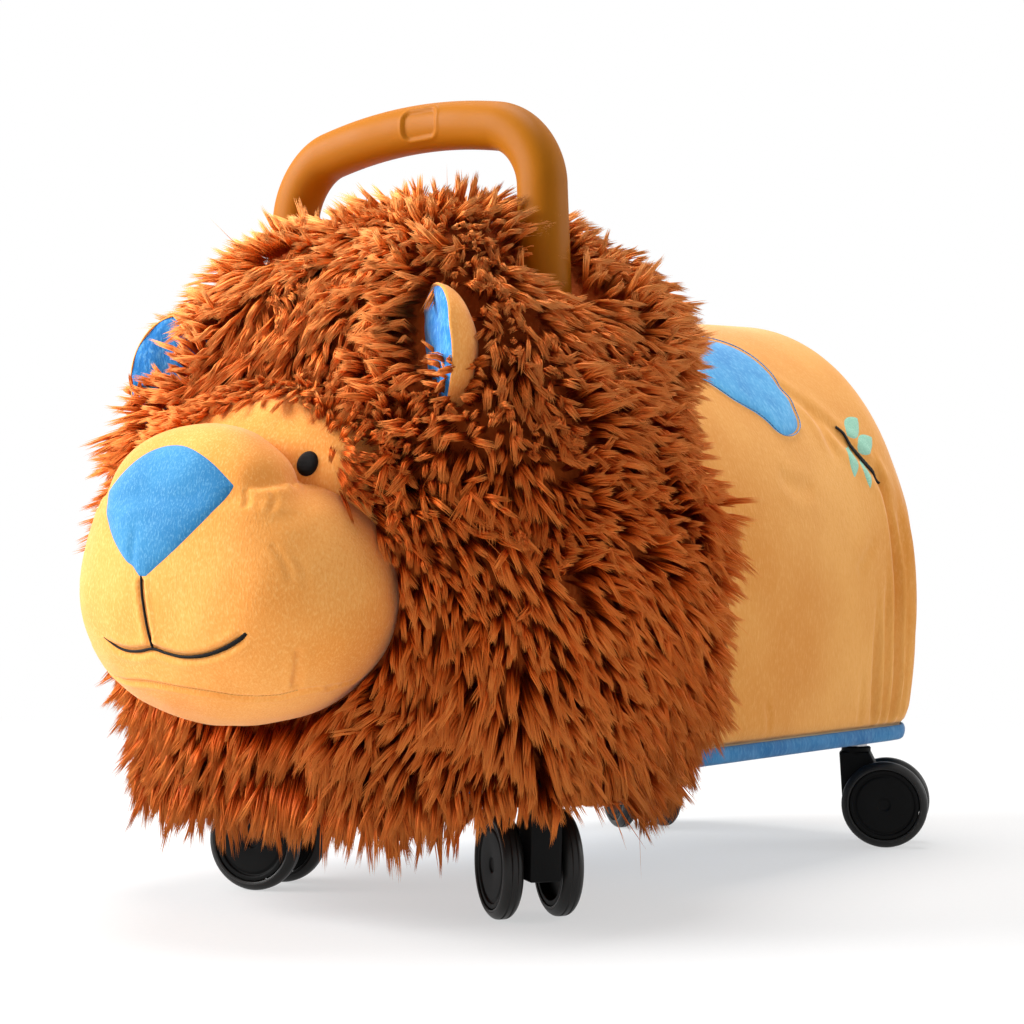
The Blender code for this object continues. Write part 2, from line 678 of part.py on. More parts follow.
def face_pieces(finish):
    """The stuffed face panel, muzzle, nose panel and eyes."""
    face = oval_solid("face_panel", FACE_CENTRE, FACE_RADII, mat=finish["yellow_plush"])
    muzzle = muzzle_form("muzzle", mat=finish["yellow_plush"])
    cut(face, muzzle_form("face_muzzle_room", FIT_GAP), body_solid("face_body_room", -FIT_GAP, FAR_BELOW))
    cut(muzzle, body_solid("muzzle_body_room", -FIT_GAP, FAR_BELOW))
    outline = nose_outline()
    front = SNOUT_CENTRE[1] - SNOUT_RADII[1]
    panel = [[(x, y, z) for x, z in outline] for y in (front - CUT_PAST, SNOUT_CENTRE[1] + CUT_PAST)]
    nose = mesh_object("nose", *loft(panel), mat=finish["blue_plush"])
    cut(nose, muzzle_form("nose_top", FIT_GAP + NOSE_PAD), operation="INTERSECT")
    cut(nose, muzzle_form("nose_seat", FIT_GAP))
    for side, word in ((1, "left"), (-1, "right")):
        outline = []
        for i in range(EYE_SIDES):
            angle = math.tau * i / EYE_SIDES
            outline.append((
                side * EYE_X + EYE_HALF_WIDTH * math.cos(angle),
                EYE_Z + EYE_HALF_HEIGHT * math.sin(angle),
            ))
        back = FACE_CENTRE[1]
        disc = [[(x, y, z) for x, z in outline] for y in (back - FACE_RADII[1] - CUT_PAST, back)]
        eye = mesh_object(f"eye_{word}", *loft(disc), mat=finish["black_thread"])
        cut(
            eye,
            oval_solid(f"eye_top_{word}", FACE_CENTRE, FACE_RADII, grow=FIT_GAP + EYE_PAD),
            operation="INTERSECT",
        )
        cut(eye, oval_solid(f"eye_seat_{word}", FACE_CENTRE, FACE_RADII, grow=FIT_GAP))


def ear_half(name, side, depth, front, mat=None, grow=0.0):
    """One half of an ear: a shallow dish, flat where the two halves are sewn together."""
    width, height = EAR_HALF_WIDTH + grow, EAR_HALF_HEIGHT + grow
    sign = -1 if front else 1
    levels = []
    for row in range(EAR_STEPS):
        angle = 0.5 * math.pi * row / EAR_STEPS
        levels.append((math.cos(angle), sign * (FIT_GAP / 2 + (depth + grow) * math.sin(angle))))
    if grow:
        levels.insert(0, (1.0, -sign * FIT_GAP))
    rows = []
    for out, y in levels:
        ring = []
        for i in range(EAR_SIDES):
            angle = math.tau * i / EAR_SIDES
            ring.append((width * out * math.cos(angle), y, height * out * math.sin(angle)))
        rows.append(ring)
    points, faces = loft(rows)
    turn = Matrix.Rotation(math.radians(-side * EAR_TURN), 4, "Z")
    place = Matrix.Translation(Vector((side * EAR_X, EAR_Y, EAR_Z)) * MM)
    return mesh_object(name, points, faces, mat=mat, matrix=place @ turn)


def ear_pieces(finish):
    """Two ears, each a blue front sewn to a yellow back."""
    seats = []
    for side, word in ((1, "left"), (-1, "right")):
        ear_half(f"ear_front_{word}", side, EAR_FRONT_DEPTH, True, finish["blue_plush"])
        ear_half(f"ear_back_{word}", side, EAR_BACK_DEPTH, False, finish["yellow_plush"])
        seats.append(ear_half(f"ear_seat_back_{word}", side, EAR_BACK_DEPTH, False, grow=FIT_GAP))
        seats.append(ear_half(f"ear_seat_front_{word}", side, EAR_FRONT_DEPTH, True, grow=FIT_GAP))
        middle = (side * (EAR_X - EAR_HOLLOW_INWARD), EAR_Y - EAR_HOLLOW_FORWARD, EAR_Z + EAR_HOLLOW_UP)
        radii = (EAR_HOLLOW, EAR_HOLLOW, EAR_HOLLOW)
        hollow = oval_solid(f"ear_hollow_{word}", middle, radii, across=HOLLOW_SIDES, around=HOLLOW_STEPS)
        seats.append(hollow)
    return seats


def spot_piece(finish):
    """The oval blue patch on the left flank, laid over the arch."""
    angle = math.radians(SPOT_ANGLE)
    rise = BODY_ARCH_RISE - BODY_BACK_SLOPE * (BODY_REAR_Y - SPOT_Y)
    middle = Vector((BODY_HALF_WIDTH * math.cos(angle), SPOT_Y, BODY_SPRING_Z + rise * math.sin(angle)))
    normal = Vector((math.cos(angle) / BODY_HALF_WIDTH, 0.0, math.sin(angle) / rise)).normalized()
    along = Vector((0.0, 1.0, 0.0))
    up = normal.cross(along)
    if up.z < 0:
        up.negate()
    tilt = math.radians(SPOT_TILT)
    long_way = along * math.cos(tilt) + up * math.sin(tilt)
    short_way = up * math.cos(tilt) - along * math.sin(tilt)
    rings = []
    for out in (-SPOT_HALF_WIDTH, SPOT_HALF_WIDTH):
        ring = []
        for i in range(SPOT_SIDES):
            turn = math.tau * i / SPOT_SIDES
            ring.append(tuple(
                middle + normal * out
                + long_way * (SPOT_HALF_LENGTH * math.cos(turn))
                + short_way * (SPOT_HALF_WIDTH * math.sin(turn))
            ))
        rings.append(ring)
    spot = mesh_object("spot_patch", *loft(rings), mat=finish["blue_plush"])
    cut(spot, body_solid("spot_top", -FIT_GAP - SPOT_PAD, FAR_BELOW), operation="INTERSECT")
    cut(spot, body_solid("spot_seat", -FIT_GAP, FAR_BELOW))


def housing_outline():
    """Side view of the caster housing between its wheels, as (x, z) points; the pivot is x = 0."""
    neck_top = HOUSING_TOP_Z - FLANGE_HEIGHT
    points = [
        (NECK_FRONT, neck_top),
        (-NECK_BACK, neck_top),
        (-NECK_BACK + NECK_BACK_LEAN, NECK_BOTTOM_Z),
        (CASTER_TRAIL - 2 * HOUSING_BOSS, NECK_BOTTOM_Z),
    ]
    start = -0.7 * math.pi
    foremost = 0.25 * math.pi
    for i in range(BOSS_STEPS + 1):
        angle = start + (foremost - start) * i / BOSS_STEPS
        points.append((
            CASTER_TRAIL + HOUSING_BOSS * math.cos(angle),
            WHEEL_RADIUS + HOUSING_BOSS * math.sin(angle),
        ))
    return points


def caster_pieces(finish, side, heading):
    """One caster: stem, insert, housing, axle and two wheels with tyres."""
    pivot = standing(*caster_pivot(side))
    frame = pivot @ Matrix.Rotation(math.radians(heading), 4, "Z")

    stem_profile = [
        (STEM_RADIUS, STEM_SEAT_Z),
        (STEM_RADIUS, HOUSING_TOP_Z + FIT_GAP),
        (COLLAR_RADIUS, HOUSING_TOP_Z + FIT_GAP),
        (COLLAR_RADIUS, BOARD_BOTTOM_Z - FIT_GAP),
        (STEM_RADIUS, BOARD_BOTTOM_Z - FIT_GAP),
        (STEM_RADIUS, BOARD_TOP_Z - FIT_GAP),
    ]
    mesh_object(f"stem_{side}", *turned(stem_profile, PIN_SIDES), mat=finish["steel"], matrix=pivot)
    insert = mesh_object(
        f"insert_{side}",
        *turned(insert_profile(0.0, BOARD_BOTTOM_Z + FIT_GAP, BOARD_TOP_Z), PIN_SIDES),
        mat=finish["steel"],
        matrix=pivot,
    )
    bore = mesh_object(
        f"insert_bore_{side}",
        *pin(STEM_RADIUS + FIT_GAP, BASE_UNDERSIDE_Z, BOARD_TOP_Z + CUT_PAST),
        matrix=pivot,
    )
    cut(insert, bore)

    outline = housing_outline()
    plates = [[(px, py, pz) for px, pz in outline] for py in (-HOUSING_HALF_WIDTH, HOUSING_HALF_WIDTH)]
    housing = mesh_object(f"housing_{side}", *loft(plates), mat=finish["black_nylon"], matrix=frame)
    flange_profile = [
        (HOUSING_HALF_WIDTH, HOUSING_TOP_Z - FLANGE_HEIGHT - FLANGE_TAPER),
        (FLANGE_RADIUS, HOUSING_TOP_Z - FLANGE_HEIGHT),
        (FLANGE_RADIUS, HOUSING_TOP_Z),
    ]
    flange = mesh_object(f"housing_flange_{side}", *turned(flange_profile, PIN_SIDES), matrix=frame)
    socket = mesh_object(
        f"housing_socket_{side}",
        *pin(bore_radius(STEM_RADIUS), STEM_SEAT_Z - FIT_GAP, HOUSING_TOP_Z + CUT_PAST),
        matrix=frame,
    )
    across = Matrix.Translation(Vector((CASTER_TRAIL, 0.0, WHEEL_RADIUS)) * MM)
    axle_frame = frame @ across @ Matrix.Rotation(math.radians(90), 4, "X")
    hole_half = HOUSING_HALF_WIDTH + CUT_PAST
    axle_hole = mesh_object(
        f"housing_axle_hole_{side}", *pin(AXLE_RADIUS + FIT_GAP, -hole_half, hole_half), matrix=axle_frame
    )
    cut(housing, flange, operation="UNION")
    cut(housing, socket, axle_hole)
    mesh_object(
        f"axle_{side}",
        *pin(AXLE_RADIUS, -AXLE_HALF_LENGTH, AXLE_HALF_LENGTH),
        mat=finish["steel"],
        matrix=axle_frame,
    )
    wheel_pieces(finish, side, "a", axle_frame)
    wheel_pieces(finish, side, "b", axle_frame @ Matrix.Rotation(math.radians(180), 4, "X"))


def wheel_pieces(finish, side, letter, frame):
    """One wheel: a nylon core with a blind bore and a soft tyre round it."""
    facet = 1 / math.cos(math.pi / WHEEL_SIDES)
    core_radius = (WHEEL_RADIUS - TYRE_THICKNESS) * facet
    rim_inner = WHEEL_INNER + RIM_STEP
    face = WHEEL_OUTER - DISC_RECESS
    hub_end = HOUSING_HALF_WIDTH + HUB_PLAY
    core_profile = [
        (HUB_RADIUS, hub_end),
        (HUB_RADIUS, face - DISC_THICKNESS),
        (core_radius - RIM_WALL, face - DISC_THICKNESS),
        (core_radius - RIM_WALL, rim_inner),
        (core_radius, rim_inner),
        (core_radius, face),
    ]
    core = mesh_object(
        f"wheel_{letter}_{side}", *turned(core_profile, WHEEL_SIDES), mat=finish["black_nylon"], matrix=frame
    )
    hole = mesh_object(
        f"wheel_bore_{letter}_{side}",
        *pin(bore_radius(AXLE_RADIUS), 0.0, AXLE_HALF_LENGTH + FIT_GAP),
        matrix=frame,
    )
    cut(core, hole)
    outer = WHEEL_RADIUS * facet
    tyre_profile = [
        (core_radius + FIT_GAP, WHEEL_INNER),
        (outer - TYRE_ROUND, WHEEL_INNER),
        (outer, WHEEL_INNER + TYRE_ROUND),
        (outer, WHEEL_OUTER - TYRE_ROUND),
        (outer - TYRE_ROUND, WHEEL_OUTER),
        (core_radius + FIT_GAP, WHEEL_OUTER),
    ]
    mesh_object(
        f"tyre_{letter}_{side}",
        *turned(tyre_profile, WHEEL_SIDES, closed=True),
        mat=finish["grey_tyre"],
        matrix=frame,
    )


def main():
    clear_scene()
    finish = {
        "yellow_plush": make_material("yellow_plush", (0.87, 0.47, 0.12), 0.9),
        "blue_plush": make_material("blue_plush", (0.07, 0.35, 0.74), 0.9),
        "fur": make_material("fur", (0.52, 0.11, 0.015), 0.95),
        "handle": make_material("handle", (0.62, 0.22, 0.02), 0.42),
        "plywood": make_material("plywood", (0.62, 0.44, 0.25), 0.6),
        "foam": make_material("foam", (0.85, 0.82, 0.7), 0.95),
        "black_thread": make_material("black_thread", (0.01, 0.01, 0.01), 0.7),
        "black_nylon": make_material("black_nylon", (0.008, 0.008, 0.009), 0.4),
        "grey_tyre": make_material("grey_tyre", (0.035, 0.034, 0.036), 0.6),
        "steel": make_material("steel", (0.6, 0.6, 0.6), 0.35, 1.0),
    }
    base_pieces(finish)
    body_pieces(finish)
    handle_pieces(finish)
    face_pieces(finish)
    seats = [
        muzzle_form("mane_muzzle_room", FIT_GAP),
        oval_solid("mane_face_room", FACE_CENTRE, FACE_RADII, grow=FIT_GAP),
    ]
    seats += ear_pieces(finish)
    mane_piece(finish, seats)
    spot_piece(finish)
    for side, heading in CASTER_HEADINGS.items():
        caster_pieces(finish, side, heading)


main()
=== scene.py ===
import math

import bpy
import numpy as np
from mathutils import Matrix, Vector


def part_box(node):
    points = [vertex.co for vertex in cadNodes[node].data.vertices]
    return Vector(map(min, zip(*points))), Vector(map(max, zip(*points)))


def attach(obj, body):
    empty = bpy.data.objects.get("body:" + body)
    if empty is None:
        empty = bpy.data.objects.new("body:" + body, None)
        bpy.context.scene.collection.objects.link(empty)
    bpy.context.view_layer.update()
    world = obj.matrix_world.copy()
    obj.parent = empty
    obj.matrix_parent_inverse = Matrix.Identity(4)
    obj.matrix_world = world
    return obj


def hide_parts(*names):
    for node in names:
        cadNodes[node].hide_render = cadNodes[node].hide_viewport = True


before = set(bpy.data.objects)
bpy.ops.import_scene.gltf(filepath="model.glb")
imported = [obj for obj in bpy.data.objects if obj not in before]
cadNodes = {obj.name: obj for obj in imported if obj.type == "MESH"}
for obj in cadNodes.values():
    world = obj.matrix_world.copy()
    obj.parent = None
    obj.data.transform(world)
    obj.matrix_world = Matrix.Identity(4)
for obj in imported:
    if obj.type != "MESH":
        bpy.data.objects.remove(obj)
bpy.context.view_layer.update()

mm = 0.001
upright = np.array([0.0, 0.0, 1.0])
white = (1.0, 1.0, 1.0, 1.0)
bothSides = (1, -1)
leftRight = ((1, "left"), (-1, "right"))
corners = ("front_left", "front_right", "rear_left", "rear_right")


# Shared tools

def tone(red, green, blue):
    # an sRGB colour from 0 to 255 as Blender's linear values: share/12.92 near black, a 2.4 power above
    share = np.array([red, green, blue]) / 255
    return (*np.where(share > 0.04045, ((share + 0.055) / 1.055) ** 2.4, share / 12.92), 1.0)


def nodeBox(node):
    # a CAD node's lowest and highest corner, in millimetres
    return np.array(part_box(node)) / mm


def nodeMiddle(node):
    return 0.5 * nodeBox(node).sum(0)


def lengthOf(vectors):
    return np.linalg.norm(vectors, axis=-1)


def unit(vectors):
    # each vector divided by its own length
    return vectors / np.maximum(lengthOf(vectors)[..., None], 1e-9)


def stacked(*parts):
    # coordinates as points, each spread to the others' shape
    return np.stack(np.broadcast_arrays(*parts), -1)


def bell(value, width):
    # exp(-(value/width)^2)
    return np.exp(-(value / width) ** 2)


def smoothStep(low, high, value):
    # 0 below low, 1 above high, and 3t^2 - 2t^3 between
    t = np.clip((value - low) / (high - low), 0, 1)
    return t * t * (3 - 2 * t)


def fullTurn(count):
    # evenly spaced angles of one turn
    return 2 * np.pi * np.arange(count) / count


def runOf(line):
    # the length of a polyline up to each of its points
    return np.concatenate([[0], np.cumsum(lengthOf(np.diff(line, axis=0)))])


def resample(line, count, closed=False):
    # count points evenly spaced by length along a polyline
    line = np.asarray(line, float)
    if closed:
        line = np.vstack([line, line[:1]])
    run = runOf(line)
    at = np.linspace(0, run[-1], count, endpoint=not closed)
    return np.stack([np.interp(at, run, part) for part in line.T], -1)


def smoothCurve(points, count):
    # a Catmull-Rom curve through the points: each stretch is the cubic whose end slopes
    # are half the step between the neighbours on either side
    p = np.asarray(points, float)
    p = np.vstack([2 * p[0] - p[1], p, 2 * p[-1] - p[-2]])
    at = np.linspace(0, len(p) - 3, count)
    i = np.minimum(at.astype(int), len(p) - 4)
    t = (at - i)[:, None]
    a, b, c, d = p[i], p[i + 1], p[i + 2], p[i + 3]
    curve = 2 * b + (c - a) * t + (2 * a - 5 * b + 4 * c - d) * t ** 2 + (3 * b - a - 3 * c + d) * t ** 3
    return 0.5 * curve


def gridFaces(rows, columns, closed=False, start=0):
    # quads between neighbouring rows and columns of points; closed joins the last column to the first
    r = np.arange(rows - 1)[:, None] * columns + start
    c = np.arange(columns if closed else columns - 1)[None, :]
    n = (c + 1) % columns
    return np.stack([r + c, r + n, r + columns + n, r + columns + c], -1).reshape(-1, 4)


def fanFaces(pole, start, columns):
    # triangles from one pole point to a closed row of points
    c = np.arange(columns)
    return stacked(pole, start + (c + 1) % columns, start + c)


def gridNormals(rows):
    # the cross product of the steps along and across the grid, for each of its points
    return unit(np.cross(np.gradient(rows, axis=0), np.gradient(rows, axis=1)))


def volumeOf(points, faces):
    # signed volume: a sixth of the sum of triple products over each face's fan of triangles
    total = 0.0
    for part in faces:
        for k in range(1, part.shape[1] - 1):
            a, b, c = points[part[:, 0]], points[part[:, k]], points[part[:, k + 1]]
            total += np.einsum("ij,ij->", a, np.cross(b, c))
    return total / 6


def putObject(name, data):
    obj = bpy.data.objects.new(name, data)
    bpy.context.scene.collection.objects.link(obj)
    return obj


def putPiece(name, form, finish, replaced=None, body="lion_body", closed=True, sharp=None):
    # a piece from its form: points in millimetres, faces by their number of corners, and a pattern map
    points, faces, pattern = form
    if closed and volumeOf(points, faces) < 0:
        faces = [part[:, ::-1] for part in faces]
    order = np.concatenate([part.ravel() for part in faces])
    sizes = np.concatenate([np.full(len(part), part.shape[1]) for part in faces])
    mesh = bpy.data.meshes.new(name)
    mesh.vertices.add(len(points))
    mesh.vertices.foreach_set("co", (points * mm).astype(np.float32).ravel())
    mesh.loops.add(len(order))
    mesh.loops.foreach_set("vertex_index", order.astype(np.int32))
    mesh.polygons.add(len(sizes))
    mesh.polygons.foreach_set("loop_start", (np.cumsum(sizes) - sizes).astype(np.int32))
    mesh.update(calc_edges=True)
    if pattern is not None:
        mesh.uv_layers.new(name="pattern").data.foreach_set("uv", pattern[order].astype(np.float32).ravel())
    mesh.shade_smooth()
    if sharp:
        mesh.set_sharp_from_angle(angle=math.radians(sharp))
    mesh.materials.append(finishes[finish])
    piece = putObject(name, mesh)
    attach(piece, body)
    if replaced:
        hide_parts(replaced)
    return piece


def poleRow(place, columns):
    # one point as a row
    return np.broadcast_to(place, (1, columns, 3))


def roundForm(rows, grid=None):
    # a closed form from rows whose first and last are single points, with a grid of values as its pattern map
    count, columns = rows.shape[:2]

    def flat(values):
        return np.vstack([values[0, :1], values[1:-1].reshape(-1, values.shape[-1]), values[-1, :1]])

    points = flat(rows)
    last = len(points) - 1
    top, bottom = fanFaces(0, 1, columns), fanFaces(last, last - columns, columns)[:, ::-1]
    faces = [gridFaces(count - 2, columns, closed=True, start=1), top, bottom]
    return points, faces, None if grid is None else flat(grid)


def twoFaced(front, back, grid=None):
    # a closed form from the rows of its front and back, which run from the middle to the edge
    both = None if grid is None else np.concatenate([grid, grid[::-1]])
    return roundForm(np.concatenate([front, back[::-1]]), both)


def joined(parts):
    # several forms as one
    starts = np.cumsum([0] + [len(part[0]) for part in parts[:-1]])
    faces = {}
    for start, part in zip(starts, parts):
        for block in part[1]:
            faces.setdefault(block.shape[1], []).append(block + start)
    pattern = None if parts[0][2] is None else np.vstack([part[2] for part in parts])
    return np.vstack([part[0] for part in parts]), [np.vstack(blocks) for blocks in faces.values()], pattern


def lathe(profile, sides, centre, axis, ring=False):
    # a (radius, distance) profile turned round an axis through centre: centre + axis*distance
    # + radius*(cos, sin) across it; ring joins the profile's end to its start
    side = unit(np.cross(axis, upright if abs(axis[2]) < 0.9 else [1.0, 0.0, 0.0]))
    turn = fullTurn(sides)[:, None]
    around = np.cos(turn) * side + np.sin(turn) * np.cross(side, axis)
    profile = np.asarray(profile, float)
    rows = centre + profile[:, 1, None, None] * axis + profile[:, 0, None, None] * around
    if not ring:
        return roundForm(rows)
    last = gridFaces(2, sides, closed=True) + (len(profile) - 1) * sides
    points = rows.reshape(-1, 3)
    return points, [np.vstack([gridFaces(len(profile), sides, closed=True), last % len(points)])], None


def roundedProfile(profile, radius, steps):
    # the same profile with each inner corner replaced by an arc-like quadratic curve of about that radius
    p = np.asarray(profile, float)
    rounded = [p[:1]]
    t = np.linspace(0, 1, steps)[:, None]
    for before, corner, after in zip(p[:-2], p[1:-1], p[2:]):
        ways = (before - corner, after - corner)
        a, b = (corner + unit(way) * min(radius, lengthOf(way) / 2) for way in ways)
        rounded.append((1 - t) ** 2 * a + 2 * t * (1 - t) * corner + t ** 2 * b)
    return np.vstack(rounded + [p[-1:]])


def inwardOf(outline):
    # across a closed flat outline, to its left
    along = np.roll(outline, -1, 0) - np.roll(outline, 1, 0)
    return unit(stacked(-along[:, 1], along[:, 0]))


def nearestGap(points, line):
    # distance from each point to the nearest point of a dense line, and how far along that is, 0 to 1
    gap, along = np.full(len(points), np.inf), np.zeros(len(points))
    for share, spot in zip(np.linspace(0, 1, len(line)), line):
        here = lengthOf(points - spot)
        along = np.where(here < gap, share, along)
        gap = np.minimum(gap, here)
    return gap, along


def heightOn(line, along):
    # the line's own height at those shares of it
    return line[np.clip((along * (len(line) - 1)).astype(int), 0, len(line) - 1), 2]


def waves(points, size, seed, count=6):
    # a smooth random field from -1 to 1: the mean of sine waves of about that wavelength in random directions
    rng = np.random.default_rng(seed)
    directions = unit(rng.normal(size=(count, 3))) * 2 * np.pi / (size * rng.uniform(0.7, 1.4, (count, 1)))
    phases = rng.uniform(0, 2 * np.pi, count)
    return np.sin(points @ directions.T + phases).mean(-1) * 1.6


# Shader tools

def feed(tree, sockets, inputs):
    # links each input to a socket, or gives it a value
    for key, value in inputs.items():
        if isinstance(value, bpy.types.NodeSocket):
            tree.links.new(value, sockets[key])
        else:
            sockets[key].default_value = value


def addNode(tree, kind, inputs=None, **settings):
    node = tree.nodes.new(kind)
    for key, value in settings.items():
        setattr(node, key, value)
    feed(tree, node.inputs, inputs or {})
    return node


def newGroup(name, inputs, outputs):
    # a shader node group with its inputs' names and values and its outputs' names
    colour, number, vector = "NodeSocketColor", "NodeSocketFloat", "NodeSocketVector"
    kinds = {tuple: colour, float: number, "Color": colour, "Normal": vector, "Roughness": number}
    group = bpy.data.node_groups.new(name, "ShaderNodeTree")
    for label, value in inputs.items():
        socket = group.interface.new_socket(label, in_out="INPUT", socket_type=kinds[type(value)])
        socket.default_value = value
    for label in outputs:
        group.interface.new_socket(label, in_out="OUTPUT", socket_type=kinds[label])
    return group, group.nodes.new("NodeGroupInput").outputs, group.nodes.new("NodeGroupOutput").inputs


def newMaterial(name):
    # a material with its node tree and its shader's inputs
    material = bpy.data.materials.new(name)
    material.use_nodes = True
    return material, material.node_tree, material.node_tree.nodes["Principled BSDF"].inputs


def mixColour(tree, factor, first, second):
    return addNode(tree, "ShaderNodeMix", {0: factor, 6: first, 7: second}, data_type="RGBA").outputs[2]


def maths(tree, operation, first, second=0.0):
    return addNode(tree, "ShaderNodeMath", {0: first, 1: second}, operation=operation).outputs[0]


def times(tree, first, second):
    return maths(tree, "MULTIPLY", first, second)


def plus(tree, first, second):
    return maths(tree, "ADD", first, second)


def rangeOf(tree, value, low, high, newLow=0.0, newHigh=1.0):
    inputs = {"Value": value, "From Min": low, "From Max": high, "To Min": newLow, "To Max": newHigh}
    return addNode(tree, "ShaderNodeMapRange", inputs).outputs["Result"]


def noiseOf(tree, vector, scale, detail=3.0, rough=0.5):
    inputs = {"Vector": vector, "Scale": scale, "Detail": detail, "Roughness": rough}
    return addNode(tree, "ShaderNodeTexNoise", inputs).outputs["Fac"]


def bumpOf(tree, strength, distance, height):
    inputs = {"Strength": strength, "Distance": distance, "Height": height}
    return addNode(tree, "ShaderNodeBump", inputs).outputs["Normal"]


def mapped(tree, vector, scale, turn=(0.0, 0.0, 0.0)):
    inputs = {"Vector": vector, "Scale": scale, "Rotation": turn}
    return addNode(tree, "ShaderNodeMapping", inputs).outputs["Vector"]


def placeOn(tree):
    return addNode(tree, "ShaderNodeTexCoord").outputs["Object"]


def split(tree, vector):
    return addNode(tree, "ShaderNodeSeparateXYZ", {"Vector": vector}).outputs


def patternOf(tree):
    return split(tree, addNode(tree, "ShaderNodeUVMap", uv_map="pattern").outputs["UV"])


def plushNapGroup():
    # short pile: broad brushed patches towards a painted shade, fine dashes of pile with a painted
    # highlight, dips of painted shade, and their bump
    group, given, result = newGroup("plushNap", {
        "Colour": white, "Shade": white, "Light": white,
        "Patch": 22.0, "Pile": 520.0, "Speckle": 0.35, "Depth": 0.0006,
    }, ["Color", "Normal", "Roughness"])
    place = placeOn(group)
    patch = noiseOf(group, place, given["Patch"], 3.0, 0.55)
    pile = noiseOf(group, mapped(group, place, (1.0, 1.0, 0.42), (0.5, 0.3, 0.0)), given["Pile"], 2.0, 0.6)
    fine = noiseOf(group, place, times(group, given["Pile"], 2.6), 1.0)
    # painted shade in broad patches, painted highlight on the pile's dashes and painted shade in its dips
    broad = mixColour(group, rangeOf(group, patch, 0.38, 0.66), given["Shade"], given["Colour"])
    dashes = times(group, rangeOf(group, pile, 0.5, 0.72), given["Speckle"])
    dips = times(group, rangeOf(group, pile, 0.46, 0.28), given["Speckle"])
    lit = mixColour(group, dashes, broad, given["Light"])
    height = plus(group, times(group, pile, 0.7), times(group, fine, 0.3))
    feed(group, result, {
        "Color": mixColour(group, dips, lit, given["Shade"]),
        "Normal": bumpOf(group, 0.55, given["Depth"], height),
        "Roughness": rangeOf(group, pile, 0.3, 0.7, 0.95, 0.75),
    })
    return group


def furStrandGroup():
    # long pile: painted shade at the root, full colour along the strand and a paler tip of the fur's own
    # tone, with each lock's own tint; painted top light makes it paler towards the crown and its tips paler
    # still, and painted shade makes it darker low down; the pattern map holds (tint, way along the strand)
    group, given, result = newGroup("furStrand", {
        "Root Shade": white, "Middle": white, "Tip": white, "Lit Crown": white, "Crown Tip": white,
        "CrownLow": 0.19, "CrownHigh": 0.34,
    }, ["Color", "Roughness"])
    pattern = patternOf(group)
    tint, along = pattern["X"], pattern["Y"]
    up = split(group, placeOn(group))["Z"]
    # painted top light: paler towards the crown, by height
    height = rangeOf(group, up, given["CrownLow"], given["CrownHigh"])
    # painted shade: darker low down
    low = rangeOf(group, up, 0.15, 0.06, 0.0, 0.6)
    body = mixColour(group, times(group, height, 0.9), given["Middle"], given["Lit Crown"])
    # painted shade at the root, taken away towards the crown
    root = mixColour(group, times(group, height, 0.85), given["Root Shade"], body)
    # the larger of the painted shade low down and a lock's own darker tint
    dark = maths(group, "MAXIMUM", low, rangeOf(group, tint, 0.0, 1.0, 0.4, 0.0))
    darker = mixColour(group, dark, body, root)
    rooted = mixColour(group, rangeOf(group, along, 0.05, 0.58), root, darker)
    # painted highlight: the tips turn paler towards the crown
    tip = mixColour(group, height, given["Tip"], given["Crown Tip"])
    tipped = times(group, rangeOf(group, along, 0.5, 0.95), rangeOf(group, tint, 0.0, 1.0, 0.25, 0.85))
    feed(group, result, {
        "Color": mixColour(group, tipped, rooted, tip),
        "Roughness": rangeOf(group, tint, 0.0, 1.0, 0.62, 0.45),
    })
    return group


def mouldedGroup():
    # moulded plastic: a fine eroded grain, slow changes of gloss and a few faint rubbed places
    group, given, result = newGroup("mouldedGrain", {
        "Colour": white, "Rubbed": white, "Grain": 1400.0, "Depth": 0.00008, "Rough": 0.42, "Wear": 0.2,
    }, ["Color", "Normal", "Roughness"])
    place = placeOn(group)
    grain = noiseOf(group, place, given["Grain"], 2.0, 0.6)
    slow = noiseOf(group, place, 28.0, 4.0, 0.6)
    worn = times(group, rangeOf(group, noiseOf(group, place, 75.0, 6.0, 0.7), 0.55, 0.78), given["Wear"])
    gloss = plus(group, given["Rough"], rangeOf(group, slow, 0.3, 0.7, -0.05, 0.06))
    feed(group, result, {
        "Color": mixColour(group, worn, given["Colour"], given["Rubbed"]),
        "Normal": bumpOf(group, 0.5, given["Depth"], grain),
        "Roughness": plus(group, gloss, times(group, worn, 0.3)),
    })
    return group


def threadGroup():
    # satin stitches: the pattern map's second value counts stitches, each a ridge with a painted glint
    # along its top, so that it is darker at its sides
    group, given, result = newGroup("satinThread", {
        "Colour": white, "Glint": white, "Depth": 0.0003,
    }, ["Color", "Normal"])
    ridge = maths(group, "PINGPONG", patternOf(group)["Y"], 0.5)
    height = plus(group, ridge, times(group, noiseOf(group, placeOn(group), 900.0, 2.0), 0.5))
    # painted highlight: the Glint tone on each stitch's top
    feed(group, result, {
        "Color": mixColour(group, rangeOf(group, height, 0.45, 0.8), given["Colour"], given["Glint"]),
        "Normal": bumpOf(group, 0.8, given["Depth"], height),
    })
    return group


surfaceNames = dict(sheen="Sheen Weight", sheenRough="Sheen Roughness", gloss="Specular IOR Level",
                    rough="Roughness", metal="Metallic")


def finish(name, group, tones, values=None, **surface):
    # a material: a group's colour, normal and roughness in a Principled shader with its own settings;
    # the tones go to the group's first inputs
    material, tree, shader = newMaterial(name)
    effect = addNode(tree, "ShaderNodeGroup", values, node_tree=group)
    for socket, colour in zip(effect.inputs, tones):
        socket.default_value = tone(*colour)
    for socket in effect.outputs:
        tree.links.new(socket, shader["Base Color" if socket.name == "Color" else socket.name])
    feed(tree, shader, {surfaceNames[key]: value for key, value in surface.items()})
    return material


